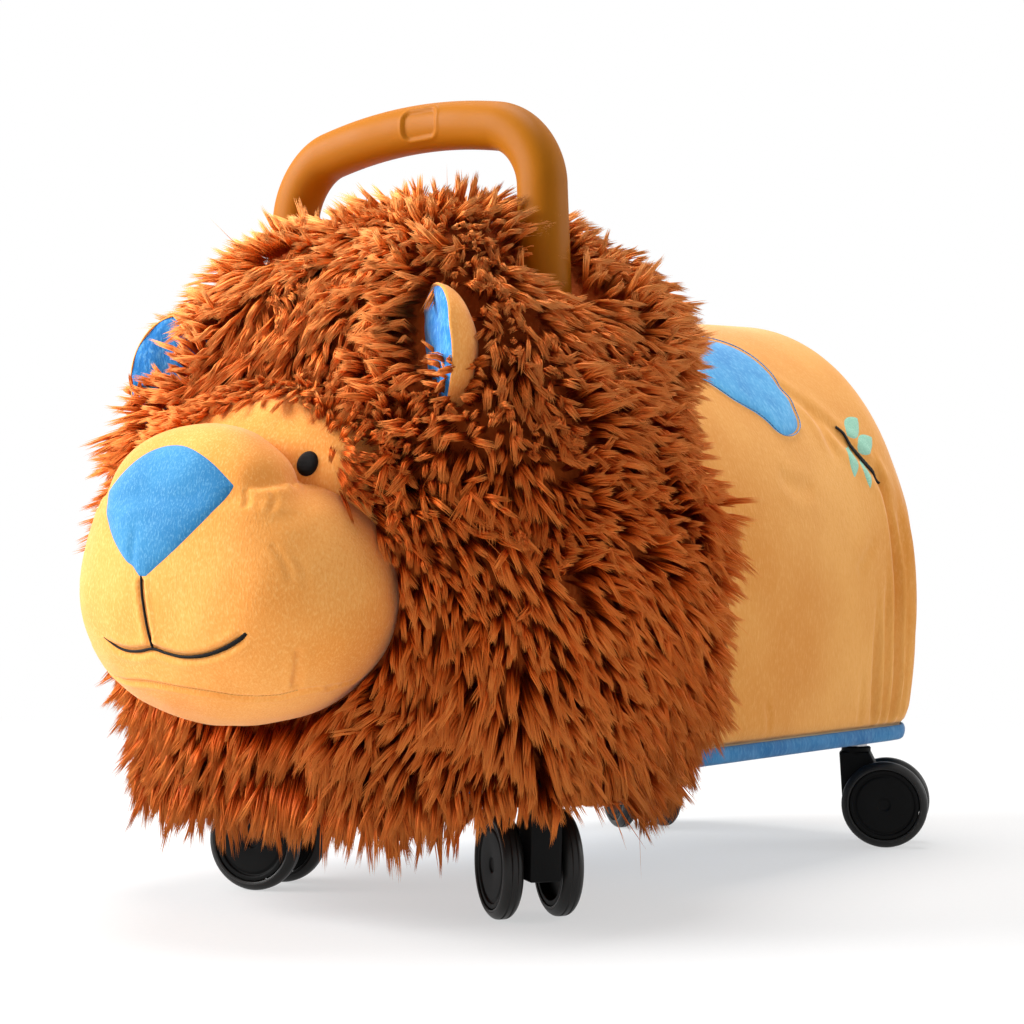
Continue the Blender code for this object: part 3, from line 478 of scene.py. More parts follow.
def woodFinish():
    # plywood: pale face grain on top, and on the edge thin layers by height, light and dark in turn
    material, tree, shader = newMaterial("plywood")
    place = placeOn(tree)
    grain = noiseOf(tree, mapped(tree, place, (60.0, 4.0, 60.0)), 1.6, 6.0, 0.65)
    face = mixColour(tree, rangeOf(tree, grain, 0.35, 0.7), tone(218, 186, 140), tone(176, 134, 88))
    layer = maths(tree, "PINGPONG", times(tree, split(tree, place)["Z"], 420.0), 1.0)
    facing = split(tree, addNode(tree, "ShaderNodeNewGeometry").outputs["True Normal"])["Z"]
    edge = rangeOf(tree, maths(tree, "ABSOLUTE", facing), 0.7, 0.3)
    layers = mixColour(tree, rangeOf(tree, layer, 0.4, 0.6), face, tone(120, 84, 50))
    feed(tree, shader, {
        "Base Color": mixColour(tree, edge, face, layers),
        "Normal": bumpOf(tree, 0.3, 0.0003, grain),
        "Roughness": 0.62,
    })
    return material


def foamFinish():
    # cut foam: open cells as small pits with painted shade in them, and a slightly aged tone in patches
    material, tree, shader = newMaterial("foam")
    place = placeOn(tree)
    cells = addNode(tree, "ShaderNodeTexVoronoi", {"Vector": place, "Scale": 700.0}).outputs["Distance"]
    aged = rangeOf(tree, noiseOf(tree, place, 14.0, 4.0), 0.35, 0.7)
    base = mixColour(tree, aged, tone(240, 232, 208), tone(226, 206, 160))
    # painted shade: darker at the middle of each pit
    feed(tree, shader, {
        "Base Color": mixColour(tree, rangeOf(tree, cells, 0.25, 0.05), base, tone(190, 170, 128)),
        "Normal": bumpOf(tree, 0.7, 0.0008, cells),
        "Roughness": 0.95,
    })
    return material


def makeFinishes():
    # plush tones: colour, shade, light; fur: root shade, middle, tip, lit crown, lit crown tip, where the
    # root shade and the lit crown tones are painted shade and light; moulded: colour, rubbed; thread: colour,
    # glint
    nap, strand, moulded, thread = plushNapGroup(), furStrandGroup(), mouldedGroup(), threadGroup()
    return {
        "yellow": finish("yellowPlush", nap, [(242, 168, 88), (228, 144, 62), (250, 194, 120)],
                         {"Patch": 11.0, "Pile": 1250.0, "Speckle": 0.5},
                         sheen=0.2, sheenRough=0.4, gloss=0.1),
        "seat": finish("seatPlush", nap, [(238, 172, 92), (220, 146, 64), (245, 188, 116)],
                       {"Patch": 8.0, "Pile": 620.0, "Speckle": 0.22},
                       sheen=0.2, sheenRough=0.4, gloss=0.1),
        "blue": finish("bluePlush", nap, [(52, 142, 214), (30, 108, 184), (112, 184, 232)],
                       {"Pile": 620.0, "Speckle": 0.6, "Depth": 0.0009},
                       sheen=0.35, sheenRough=0.35, gloss=0.2),
        "strip": finish("stripCloth", nap, [(58, 132, 184), (34, 100, 156), (98, 164, 204)],
                        {"Patch": 18.0, "Pile": 500.0}, sheen=0.2, gloss=0.15),
        "spot": finish("spotPlush", nap, [(90, 172, 222), (62, 142, 202), (136, 204, 238)],
                       {"Patch": 26.0, "Pile": 460.0, "Speckle": 0.4},
                       sheen=0.3, sheenRough=0.35, gloss=0.2),
        "nose": finish("nosePlush", nap, [(60, 134, 180), (42, 114, 163), (114, 172, 202)],
                       {"Pile": 1300.0, "Speckle": 0.42}, sheen=0.25, sheenRough=0.35, gloss=0.2),
        "fur": finish("maneFur", strand, [
            (150, 54, 10), (222, 94, 18), (250, 156, 76), (246, 150, 66), (246, 176, 110)], gloss=0.07),
        "skin": finish("maneBacking", nap, [(184, 84, 28), (150, 62, 16), (214, 110, 46)], gloss=0.1),
        "handle": finish("handlePlastic", moulded, [(158, 93, 7), (172, 107, 18)],
                         {"Rough": 0.5}, gloss=0.09),
        "nylon": finish("blackNylon", moulded, [(5, 5, 5), (14, 14, 14)],
                        {"Rough": 0.55, "Depth": 0.00012}, gloss=0.12),
        "tyre": finish("greyTyre", moulded, [(28, 27, 26), (46, 44, 42)],
                       {"Wear": 0.3, "Depth": 0.0001}, gloss=0.25),
        "steel": finish("zincSteel", moulded, [(176, 176, 178), (206, 206, 206)],
                        {"Rough": 0.3, "Grain": 900.0}, metal=1.0),
        "blackThread": finish("blackThread", thread, [(2, 2, 2), (12, 11, 10)], rough=0.6, gloss=0.15),
        "mintThread": finish("mintThread", thread, [(132, 192, 164), (176, 222, 200)], rough=0.5),
        "blueThread": finish("blueThread", thread, [(50, 118, 172), (96, 164, 210)], rough=0.5),
        "yellowThread": finish("yellowThread", thread, [(206, 142, 60), (240, 184, 100)], rough=0.55),
        "wood": woodFinish(),
        "foam": foamFinish(),
    }


finishes = makeFinishes()
print("finishes made:", len(finishes))


# Camera, lights and floor

camera = dict(place=(0.63977, -0.83913, 0.1556), pitch=92.007, turn=37.618, lens=69.54, sensor=36.0)
lamps = dict(
    key=dict(place=(-1.58, -1.5, 1.2), aim=(0.0, -0.1, 0.2), size=1.5, watts=108.0),
    side=dict(place=(1.7, 1.7, 1.0), aim=(0.0, 0.15, 0.2), size=1.4, watts=17.0),
    top=dict(place=(-0.2, 0.1, 2.4), aim=(0.0, 0.0, 0.2), size=1.5, watts=52.0),
)
worldLevel = 0.37
paper = dict(radius=9.0, sides=96, near=0.45, nearShare=0.55, far=1.3)  # share of plain white near the toy


def makeCamera():
    data = bpy.data.cameras.new("photoCamera")
    data.lens, data.sensor_width = camera["lens"], camera["sensor"]
    data.clip_start, data.clip_end = 0.05, 40.0
    obj = putObject("photoCamera", data)
    obj.location = camera["place"]
    obj.rotation_euler = (math.radians(camera["pitch"]), 0.0, math.radians(camera["turn"]))
    bpy.context.scene.camera = obj


def seenStraight(tree):
    # 1 for the camera and for mirror and glass rays, 0 for the light that falls on the toy
    path = addNode(tree, "ShaderNodeLightPath").outputs
    mirrored = maths(tree, "MAXIMUM", path["Is Glossy Ray"], path["Is Transmission Ray"])
    return maths(tree, "MAXIMUM", path["Is Camera Ray"], mirrored)


def makeLights():
    for name, lamp in lamps.items():
        data = bpy.data.lights.new(f"{name}Light", "AREA")
        data.shape, data.size, data.energy = "DISK", lamp["size"], lamp["watts"]
        obj = putObject(f"{name}Light", data)
        obj.location = lamp["place"]
        way = Vector(lamp["aim"]) - Vector(lamp["place"])
        obj.rotation_euler = way.to_track_quat("-Z", "Y").to_euler()
    world = bpy.data.worlds.new("studio")
    world.use_nodes = True
    tree = world.node_tree
    level = rangeOf(tree, seenStraight(tree), 0.0, 1.0, worldLevel, 1.0)
    feed(tree, tree.nodes["Background"].inputs, {"Color": white, "Strength": level})
    bpy.context.scene.world = world


def makeFloor():
    # a wide disc whose paper finish the camera sees partly as plain white, so the shadow stays soft
    turn = fullTurn(paper["sides"])
    ring = stacked(np.cos(turn), np.sin(turn), 0.0) * paper["radius"]
    mesh = bpy.data.meshes.new("floor")
    mesh.from_pydata(ring.tolist(), [], [list(range(len(ring)))])
    material, tree, shader = newMaterial("paperFloor")
    place = placeOn(tree)
    fibre = mixColour(tree, noiseOf(tree, place, 300.0), tone(212, 212, 212), tone(220, 220, 220))
    feed(tree, shader, {"Base Color": fibre, "Roughness": 0.9, "Specular IOR Level": 0.1})
    plain = addNode(tree, "ShaderNodeEmission", {"Color": white, "Strength": 1.0}).outputs["Emission"]
    away = addNode(tree, "ShaderNodeVectorMath", {0: place}, operation="LENGTH").outputs["Value"]
    share = rangeOf(tree, away, paper["near"], paper["far"], paper["nearShare"], 1.0)
    share = times(tree, seenStraight(tree), share)
    shaded = tree.nodes["Principled BSDF"].outputs["BSDF"]
    mixed = addNode(tree, "ShaderNodeMixShader", {0: share, 1: shaded, 2: plain})
    tree.links.new(mixed.outputs["Shader"], tree.nodes["Material Output"].inputs["Surface"])
    mesh.materials.append(material)
    putObject("floor", mesh)


bpy.context.scene.view_settings.view_transform = "Standard"
makeCamera()
makeLights()
makeFloor()
print("camera, lights and floor are set")


# Seat: the yellow cover over the foam

seatLow, seatHigh = nodeBox("body_cover")
seat = dict(
    half=seatHigh[0], rear=seatHigh[1], front=seatLow[1], base=seatLow[2],
    springZ=148.0, rise=170.0, slope=0.085, tuck=6.3,  # the arch, its fall forwards, the pull at the seam
    rearRound=50.0, frontRound=30.0, crown=5.0,        # the ends' quarter rounds, the rump's bulge
    dent=1.1, dentSize=120.0, foldSway=2.0,            # slow dents, and how far the folds wander
    ripple=0.3, rippleStep=1.1,                        # the faint level ripples
    seamHigh=9.0, seamTuck=2.6,                        # the roll into the seam
    sideRows=30, archRows=150, lengthRows=170, endRows=16, cloth=2.2,
)
seatFolds = [  # (y at the seam, lean towards the rear per mm up, lowest z, highest z, depth, width)
    (168.0, -0.06, 60.0, 118.0, 0.9, 2.4),
    (185.0, -0.09, 60.0, 158.0, 2.3, 2.5),
    (196.0, -0.06, 60.0, 176.0, 2.0, 2.4),
    (206.5, -0.02, 60.0, 240.0, 2.8, 2.8),
    (217.0, 0.00, 72.0, 225.0, 2.4, 3.0),
    (231.0, 0.01, 76.0, 240.0, 1.6, 3.0),
    (246.0, 0.00, 80.0, 250.0, 1.8, 3.6),
]
seatCreases = [  # ((y, z) along the crease, depth, width)
    ([(150.0, 268.0), (160.0, 252.0), (172.0, 240.0), (190.0, 226.0), (204.0, 212.0), (209.0, 188.0),
      (209.0, 150.0)], 1.8, 4.5),
    ([(133.0, 270.0), (144.0, 262.0), (153.0, 254.0), (158.0, 240.0), (160.0, 220.0)], 1.5, 4.0),
    ([(158.0, 160.0), (168.0, 168.0), (184.0, 180.0)], 1.3, 3.0),
    ([(84.0, 212.0), (104.0, 206.0), (126.0, 208.0)], 0.8, 5.0),
    ([(66.0, 72.0), (64.0, 84.0), (58.0, 94.0)], 0.9, 2.2),
]


def seatHalf(y):
    # half width and arch rise at y: full size less the quarter round at each end
    rear, front = seat["rearRound"], seat["frontRound"]
    pastRear = np.clip(y - (seat["rear"] - rear), 0, rear)
    pastFront = np.clip(seat["front"] + front - y, 0, front)
    pull = rear - np.sqrt(rear ** 2 - pastRear ** 2) + front - np.sqrt(front ** 2 - pastFront ** 2)
    return seat["half"] - pull, seat["rise"] - pull - seat["slope"] * (seat["rear"] - y)


def seatStations(count, rear):
    # places along Y: 24 round the front, evenly over the length, and at the given shares round the rear
    frontTurn = 0.5 * np.pi * np.linspace(0, 1, 24, endpoint=False)
    return np.concatenate([
        seat["front"] + seat["frontRound"] * (1 - np.cos(frontTurn)),
        np.linspace(seat["front"] + seat["frontRound"], seat["rear"] - seat["rearRound"], count),
        seat["rear"] - seat["rearRound"] * (1 - np.sin(0.5 * np.pi * rear)),
    ])


def seatSide(half, up):
    # the side under the spring line: half less a square tuck
    return half - seat["tuck"] * (1 - up) ** 2


def seatSection(y, way):
    # one arch at y; way runs 0 to 1 over the left side, 1 to 3 over the arch and 3 to 4 down the right side;
    # the arch is half*cos and rise*sin over the spring line
    half, rise = seatHalf(y)
    up = np.clip(np.where(way < 2, way, 4 - way), 0, 1)
    turn = 0.5 * np.pi * np.clip(way - 1, 0, 2)
    onSide = (way < 1) | (way > 3)
    x = np.where(onSide, np.sign(2 - way) * seatSide(half, up), np.cos(turn) * half)
    sideZ = seat["base"] + (seat["springZ"] - seat["base"]) * up
    return stacked(x, y, np.where(onSide, sideZ, seat["springZ"] + rise * np.sin(turn)))


def seatGap(points):
    # about how far a point is outside the seat: radial over the arch, sideways below it, along Y at the ends
    x, y, z = points.T
    half, rise = seatHalf(np.clip(y, seat["front"] + 1, seat["rear"] - 1))
    reach = np.sqrt((x / half) ** 2 + (np.maximum(z - seat["springZ"], 0) / rise) ** 2)
    up = np.clip((z - seat["base"]) / (seat["springZ"] - seat["base"]), 0, 1)
    gap = np.where(z > seat["springZ"], (reach - 1) * half, np.abs(x) - seatSide(half, up))
    ends = np.maximum(seat["front"] - y, y - seat["rear"])
    return np.where(ends > 0, np.maximum(gap, ends), gap)


def seatRelief(points, normals):
    # moves the cover: vertical folds near the rump, faint level ripples, slow dents, and a tuck into the seam
    y, z = points[:, 1], points[:, 2]
    move = seat["dent"] * waves(points * [1, 1, 0.6], seat["dentSize"], 3)
    for foldY, lean, low, high, depth, width in seatFolds:
        off = y - (foldY + lean * (z - seat["base"])) - seat["foldSway"] * waves(points, 60.0, int(foldY))
        fade = smoothStep(low - 6, low + 10, z) * (1 - smoothStep(high - 50, high, z))
        move = move - depth * fade * (1.35 * bell(off, width) - 0.8 * bell(off - 1.9 * width, width))
    for line, depth, width in seatCreases:
        gap, along = nearestGap(points[:, 1:], smoothCurve(line, 50))
        press = bell(gap, width) - 0.4 * bell(gap - 2.0 * width, width)
        move = move - depth * press * smoothStep(0, 0.2, along) * smoothStep(0, 0.25, 1 - along)
    ripple = smoothStep(112, 135, y) * (1 - smoothStep(160, 182, y))
    ripple = ripple * smoothStep(110, 130, z) * (1 - smoothStep(165, 195, z))
    wander = 1.2 * waves(points, 30.0, 8)
    move = move + seat["ripple"] * ripple * np.sin(z / seat["rippleStep"] + wander)
    bottom = np.clip((z - seat["base"]) / seat["seamHigh"], 0, 1)
    move = move * bottom - seat["seamTuck"] * (1 - np.sqrt(1 - (1 - bottom) ** 2))
    return points + normals * move[:, None]


def makeSeat():
    # the arches from end to end, each end's rows drawn in to the middle of its seam
    way = np.concatenate([
        np.linspace(0, 1, seat["sideRows"], endpoint=False),
        np.linspace(1, 3, seat["archRows"], endpoint=False),
        np.linspace(3, 4, seat["sideRows"] + 1),
    ])
    skin = seatSection(seatStations(seat["lengthRows"], np.linspace(0, 1, 25)[1:])[:, None], way[None, :])
    shrink = np.linspace(1, 0.004, seat["endRows"])[1:, None, None]
    low = upright * seat["base"]
    caps = []
    for row, sign in ((skin[0], -1), (skin[-1], 1)):
        cap = low + (row - low) * shrink
        cap[..., 1] = row[0, 1] + sign * seat["crown"] * (1 - shrink[..., 0] ** 2)
        caps.append(cap)
    rows = np.concatenate([caps[0][::-1], skin, caps[1]])
    normals = gridNormals(rows)
    normals[:3], normals[-3:] = [0, -1, 0], [0, 1, 0]
    points = seatRelief(rows.reshape(-1, 3), normals.reshape(-1, 3))
    form = points, [gridFaces(*rows.shape[:2])[:, ::-1]], None
    piece = putPiece("seat_cover", form, "seat", "body_cover", closed=False)
    wall = piece.modifiers.new("cloth", "SOLIDIFY")
    wall.thickness, wall.offset = seat["cloth"] * mm, -1.0


# Mane: a superellipse in plan whose size follows the height

mane = dict(
    centreY=-88.0, half=153.0, front=121.0, rear=112.0, lean=0.15, widest=120.0, top=346.0,
    drop=110.0, hem=45.0, planPower=2.9, crownPower=2.2, crownRoot=3.0, skirtPower=2.4, around=130.0,
)
fur = dict(
    depth=13.5, hemDepth=6.0, step=4.6, jitter=0.4,  # roots this far under the outer shape; between locks
    strands=17, wide=2.1, thin=1.0, close=0.45,      # strands to a lock, its half sizes, how its tips close
    spread=0.12, cup=0.6, shorter=0.1,               # a strand's own shift, the lock's cup, its short sides
    droop=0.24, sway=0.14, fray=0.02,                # how much locks bend down, each its own way, and strands
    low=16.0, high=27.0, thick=0.44, stray=0.16,     # shortest and longest lock, and half a strand's width
    skinDepth=15.0, pieces=14, radius=140.0,         # a step round the mane over this radius is an angle
    widest=156.0,                                    # past this half width a quarter of the rest is kept
    sweepX=146.5, sweepY=-162.0, sweepZ=54.0,        # inside these the backing stays up over the casters
    hollow=9.0, hollowZ=222.0, hollowHigh=28.0,      # how much the mane draws in over the seat
    chest=1.0, brow=8.0,                             # draws in below the muzzle, comes out beside the face
    fringeZ=63.0, fringeStep=3.0, fringeLow=17.0, fringeHigh=28.0, fringeFrom=-150.0, fringeTo=-26.0,
    rearZ=50.0, rearRise=15.0,                       # the hem's height in front and its rise to the rear
    earStep=3.4, earLow=10.0, earHigh=15.0, strays=200,
)
furDents = [  # (place on the outer shape, radius, how much the fur draws in there)
    ((98.0, -104.0, 314.0), 24.0, 22.0), ((-98.0, -104.0, 314.0), 22.0, 15.0),
    ((105.0, -24.0, 300.0), 32.0, -9.0), ((-105.0, -24.0, 300.0), 32.0, -9.0),
    ((126.0, -18.0, 242.0), 28.0, 5.0), ((-12.0, -150.0, 330.0), 34.0, 9.0),
    ((-88.0, -150.0, 300.0), 30.0, 4.0), ((20.0, -60.0, 345.0), 34.0, -6.0),
    ((-119.0, -179.0, 185.0), 38.0, 7.0), ((-122.0, -181.0, 104.0), 26.0, 5.0),
]
brow = dict(  # the oval of the face that is left bare, and the one round the far eye
    x=9.0, z=195.0, halfWidth=50.5, halfHeight=44.5, step=3.1, low=12.0, high=19.0,
    across=(-86.0, 87.0), up=(168.0, 249.0), inset=1.5,
    eyeWidth=14.0, eyeHeight=17.0, eyeUp=3.0,
)
casterRoom = dict(  # round each front pivot: no roots in bare under bareZ; points under low move out to reach
    x=96.8, y=-113.2, bare=44.0, bareZ=50.0, reach=50.0, low=54.5,
    lift=40.0, top=56.0,  # and those nearer than lift go up to top
)


def maneProfile():
    # (height, share of the full width) from hem to top, evenly spaced along the side:
    # (1 - t^2.4)^(1/2.4) under the widest line and (1 - t^2.2)^(1/3) over it
    below = np.linspace(mane["hem"], mane["widest"], 200)
    above = mane["widest"] + (mane["top"] - mane["widest"]) * (1 - (1 - np.linspace(0, 1, 600)) ** 4)[1:]
    down = (mane["widest"] - below) / mane["drop"]
    up = (above - mane["widest"]) / (mane["top"] - mane["widest"])
    shareLow = (1 - down ** mane["skirtPower"]) ** (1 / mane["skirtPower"])
    shareHigh = np.maximum(1 - up ** mane["crownPower"], 0) ** (1 / mane["crownRoot"])
    share = np.concatenate([shareLow, shareHigh])
    line = resample(stacked(np.concatenate([below, above]), share * mane["around"]), 500)
    return line[:, 0], line[:, 1] / mane["around"], runOf(line)[-1]


maneHeights, maneShares, maneLength = maneProfile()
maneWays = np.linspace(0, 1, len(maneHeights))


def maneOuter(angle, way):
    # way runs 0 to 1 from the hem to the top, and the plan is x = 153*size*cos, y = -88 + depth*size*sin,
    # with size = (|cos|^2.9 + |sin|^2.9)^(-1/2.9)
    z = np.interp(way, maneWays, maneHeights)
    share = np.interp(way, maneWays, maneShares)
    c, s, power = np.cos(angle), np.sin(angle), mane["planPower"]
    size = share * (np.abs(c) ** power + np.abs(s) ** power) ** (-1 / power)
    deep = np.where(s < 0, mane["front"], mane["rear"] + mane["lean"] * np.maximum(z - mane["widest"], 0))
    return stacked(mane["half"] * size * c, mane["centreY"] + deep * size * s, z)


def manePoint(angle, way, inset=0.0, step=0.004):
    # a point of the outer shape, or of one inset along its normal, with that normal
    across = maneOuter(angle + step, way) - maneOuter(angle - step, way)
    along = maneOuter(angle, np.minimum(way + step, 1)) - maneOuter(angle, np.maximum(way - step, 0))
    cross = np.cross(across, along)
    normal = np.where(lengthOf(cross)[..., None] > 1e-3, unit(cross), upright)
    return maneOuter(angle, way) - normal * inset, normal


# Head: cheeks and snout of the muzzle, the face behind it, and where a line on its front lies

muzzle = dict(
    cheek=dict(centre=(0.0, -209.9, 150.0), radii=(82.8, 52.4, 58.7), power=2.12),
    snout=dict(centre=(0.0, -232.3, 165.0), radii=(61.0, 28.8, 60.0), power=2.31),
    middle=(0.0, -225.0, 155.0), rows=270, columns=350, lip=0.8,
    blend=11.0, ridgeBlend=2.0,  # how softly the snout meets the cheeks, below and above the crease
    ridge=1.6, ridgeWidth=5.0,   # the fold pressed in where they meet above it
    dents=((0.8, 46.0, 12), (0.25, 17.0, 13)),  # (depth, size, seed) of the stuffing's slow dents
    acrossGrid=(-70.0, 71.0), upGrid=(102.0, 222.0), frontGrid=(-272.0, -200.0),  # where its front is read
)
face = dict(
    centre=(0.0, -170.0, 200.0), radii=(88.0, 54.0, 50.0), power=2.0, rows=110, columns=180,
    dent=0.8, dentSize=40.0,
)
nose = dict(
    top=215.5, corner=196.0, tip=156.5, half=41.0, tipHalf=2.0, lean=-1.5, middleZ=191.0,
    pad=1.8, bed=0.7, back=1.6, rings=40, around=300,
)
eye = dict(
    x=46.4, z=206.8, halfWidth=4.9, halfHeight=5.9, pad=0.8, bed=1.4, back=2.0,
    socketY=-214.0, socketDepth=1.6, socketWidth=8.5,
)

# stitched lines and creases on the muzzle, as (x, z) places seen from the front
philtrum = smoothCurve([(-2.6, 158.0), (-2.2, 150.0), (-1.0, 140.0), (0.3, 126.8)], 60)
mouth = smoothCurve([
    (-35.0, 131.0), (-25.3, 126.9), (-17.9, 125.4), (-9.0, 125.4), (0.3, 126.6), (7.5, 125.0),
    (17.0, 123.5), (27.7, 124.2), (38.0, 127.3), (45.5, 131.1), (49.2, 133.9),
], 160)
chinSeam = smoothCurve([
    (-58.0, 118.0), (-44.0, 113.5), (-29.4, 111.5), (-10.0, 111.5), (11.5, 109.4), (23.7, 108.0),
    (33.9, 106.5), (46.9, 106.6), (55.1, 108.8), (63.9, 111.5), (70.0, 117.0),
], 140)
chinDart = smoothCurve([(65.6, 127.8), (61.6, 118.5), (55.6, 109.7)], 40)
snoutCrease = smoothCurve([(40.5, 195.5), (46.1, 196.3), (51.0, 197.0), (56.0, 199.0), (61.0, 202.5)], 60)
gathers = [smoothCurve(line, 30) for line in (
    [(44.0, 195.0), (46.0, 190.5), (46.5, 186.0)], [(51.0, 196.0), (54.0, 190.5), (55.5, 184.0)],
    [(58.0, 172.0), (63.5, 164.0), (66.0, 155.0)], [(66.0, 166.0), (69.5, 160.0), (70.5, 152.0)],
)]


def ovalShare(points, oval):
    # under 1 inside: the sum of |offset/radius|^power to the power 1/power
    away = np.abs((points - oval["centre"]) / oval["radii"])
    return (away ** oval["power"]).sum(-1) ** (1 / oval["power"])


def ovalReach(start, rays, oval):
    # how far a ray from a point inside runs to the oval's face, by halving the span 40 times
    low, high = np.zeros(len(rays)), np.full(len(rays), 220.0)
    for _ in range(40):
        middle = 0.5 * (low + high)
        inside = ovalShare(start + rays * middle[:, None], oval) < 1
        low, high = np.where(inside, middle, low), np.where(inside, high, middle)
    return low


def faceFront(x, z):
    # y of the face's front at (x, z)
    centre, radii, power = face["centre"], face["radii"], face["power"]
    left = 1 - np.abs((x - centre[0]) / radii[0]) ** power - np.abs((z - centre[2]) / radii[2]) ** power
    return np.where(left > 0, centre[1] - radii[1] * np.maximum(left, 0) ** (1 / power), 1e3)


def onFront(places, surface, lift=0.0, step=0.8):
    # (x, z) places laid on a front surface and lifted along its normal, with that normal
    x, z = places[..., 0], places[..., 1]
    slopeX = (surface(x + step, z) - surface(x - step, z)) / (2 * step)
    slopeZ = (surface(x, z + step) - surface(x, z - step)) / (2 * step)
    normal = unit(stacked(slopeX, -1.0, slopeZ))
    return stacked(x, surface(x, z), z) + normal * lift, normal


def muzzleReach(rays):
    # the larger of the two ovals' reach, rounded where they meet: (a + b + sqrt((a - b)^2 + blend^2))/2
    start = np.array(muzzle["middle"])
    cheek = ovalReach(start, rays, muzzle["cheek"])
    snout = ovalReach(start, rays, muzzle["snout"])
    height = start[2] + rays[:, 2] * np.maximum(cheek, snout)
    blend = muzzle["ridgeBlend"] + (muzzle["blend"] - muzzle["ridgeBlend"]) * smoothStep(196, 183, height)
    reach = 0.5 * (cheek + snout + np.sqrt((cheek - snout) ** 2 + blend ** 2)) - 0.12 * blend
    points = start + rays * reach[:, None]
    ridge = bell(cheek - snout, muzzle["ridgeWidth"]) * smoothStep(176, 190, points[:, 2])
    reach = reach - muzzle["ridge"] * ridge
    for depth, size, seed in muzzle["dents"]:
        reach = reach + depth * waves(points, size, seed)
    return reach


def frontField():
    # y of the muzzle's front on a grid of (x, z): there the distance from its middle is the reach that way
    x, z = np.meshgrid(np.arange(*muzzle["acrossGrid"]), np.arange(*muzzle["upGrid"]), indexing="ij")
    out, back = (np.full(x.size, y) for y in muzzle["frontGrid"])
    for _ in range(14):
        middle = 0.5 * (out + back)
        away = stacked(x.ravel(), middle, z.ravel()) - muzzle["middle"]
        gap = lengthOf(away)
        inside = gap < muzzleReach(away / gap[:, None])
        out, back = np.where(inside, out, middle), np.where(inside, middle, back)
    return x[:, 0], z[0], (0.5 * (out + back)).reshape(x.shape)


fieldX, fieldZ, fieldY = frontField()


def muzzleFront(x, z):
    # the field read at (x, z), linearly between its places
    i = np.clip(x - fieldX[0], 0, len(fieldX) - 1.001)
    j = np.clip(z - fieldZ[0], 0, len(fieldZ) - 1.001)
    a, b = i.astype(int), j.astype(int)
    u, v = i - a, j - b
    low = fieldY[a, b] * (1 - u) + fieldY[a + 1, b] * u
    high = fieldY[a, b + 1] * (1 - u) + fieldY[a + 1, b + 1] * u
    return low * (1 - v) + high * v


def onMuzzle(places, lift=0.0):
    return onFront(places, muzzleFront, lift)


def groove(points, rays, line, depth, width, fade=0.12, rim=0.3, above=1.0):
    # presses a line in: depth*exp(-(gap/width)^2) with a low swelling beside it, faded at both ends, and
    # wider over the line by the factor above
    gap, along = nearestGap(points, line)
    wide = width * np.where(points[:, 2] > heightOn(line, along), above, 1.0)
    ends = smoothStep(0, fade, along) * smoothStep(0, fade, 1 - along)
    press = rim * depth * bell(gap - 1.9 * wide, wide) - depth * bell(gap, wide)
    return points + rays * (press * ends)[:, None]


def roundRows(rows, columns, spread=0.45):
    # directions from a pole at the top to one at the bottom, columns closer together towards -Y:
    # the turn away from -Y is pi*((1 - spread)*s + spread*s^3)
    lat = np.pi * np.linspace(0, 1, rows)[:, None]
    s = np.linspace(-1, 1, columns, endpoint=False)[None, :]
    turn = -0.5 * np.pi + np.pi * ((1 - spread) * s + spread * s ** 3)
    return stacked(np.sin(lat) * np.cos(turn), np.sin(lat) * np.sin(turn), np.cos(lat))


def makeMuzzle():
    rays = roundRows(muzzle["rows"], muzzle["columns"])
    shape = rays.shape
    rays = rays.reshape(-1, 3)
    points = muzzle["middle"] + rays * muzzleReach(rays)[:, None]
    grooves = [(philtrum, 1.3, 1.7, (1,), {}), (mouth, 1.5, 1.9, (1,), {}), (chinSeam, 1.2, 1.3, (1,), {}),
               (chinDart, 1.7, 1.8, bothSides, {}),
               (snoutCrease, 2.4, 2.4, bothSides, dict(fade=0.5, rim=0.0, above=3.2))]
    for line, depth, width, sides, extra in grooves + [(line, 0.6, 1.4, bothSides, {}) for line in gathers]:
        for side in sides:
            points = groove(points, rays, onMuzzle(line * [side, 1])[0], depth, width, **extra)
    for side in bothSides:  # a low swelling under the crease
        line = onMuzzle(snoutCrease * [side, 1])[0]
        gap, along = nearestGap(points, line)
        below = smoothStep(0.5, 5.0, heightOn(line, along) - points[:, 2]) * smoothStep(0, 0.6, along)
        points = points + rays * (muzzle["lip"] * below * bell(gap - 8.0, 7.0))[:, None]
    putPiece("muzzle_plush", roundForm(points.reshape(shape)), "yellow", "muzzle")


def faceDents(points):
    return face["dent"] * waves(points, face["dentSize"], 21)


def makeFace():
    # the oval with slow dents, pressed in a little round each eye
    rays = roundRows(face["rows"], face["columns"])
    points = face["centre"] + rays * face["radii"]
    normals = unit(rays / face["radii"])
    points = points + normals * faceDents(points)[..., None]
    for side in bothSides:
        socket = lengthOf(points - [side * eye["x"], eye["socketY"], eye["z"]])
        points = points - normals * (eye["socketDepth"] * bell(socket, eye["socketWidth"]))[..., None]
    putPiece("face_plush", roundForm(points), "yellow", "face_panel")


def noseOutline():
    # a top of z = 196 + 19.5*(1 - (x/41)^2), and sides of x = 2 + 39*(1 - s^1.5) down to the tip
    x = np.linspace(-1, 1, 81) * nose["half"]
    over = stacked(x, nose["corner"] + (nose["top"] - nose["corner"]) * (1 - (x / nose["half"]) ** 2))
    s = np.linspace(0, 1, 60)[1:]
    wide = nose["tipHalf"] + (nose["half"] - nose["tipHalf"]) * (1 - s ** 1.5)
    drop = nose["corner"] - (nose["corner"] - nose["tip"]) * s
    middle = nose["lean"] * s
    return np.vstack([over, stacked(middle + wide, drop), stacked(middle - wide, drop)[::-1]])


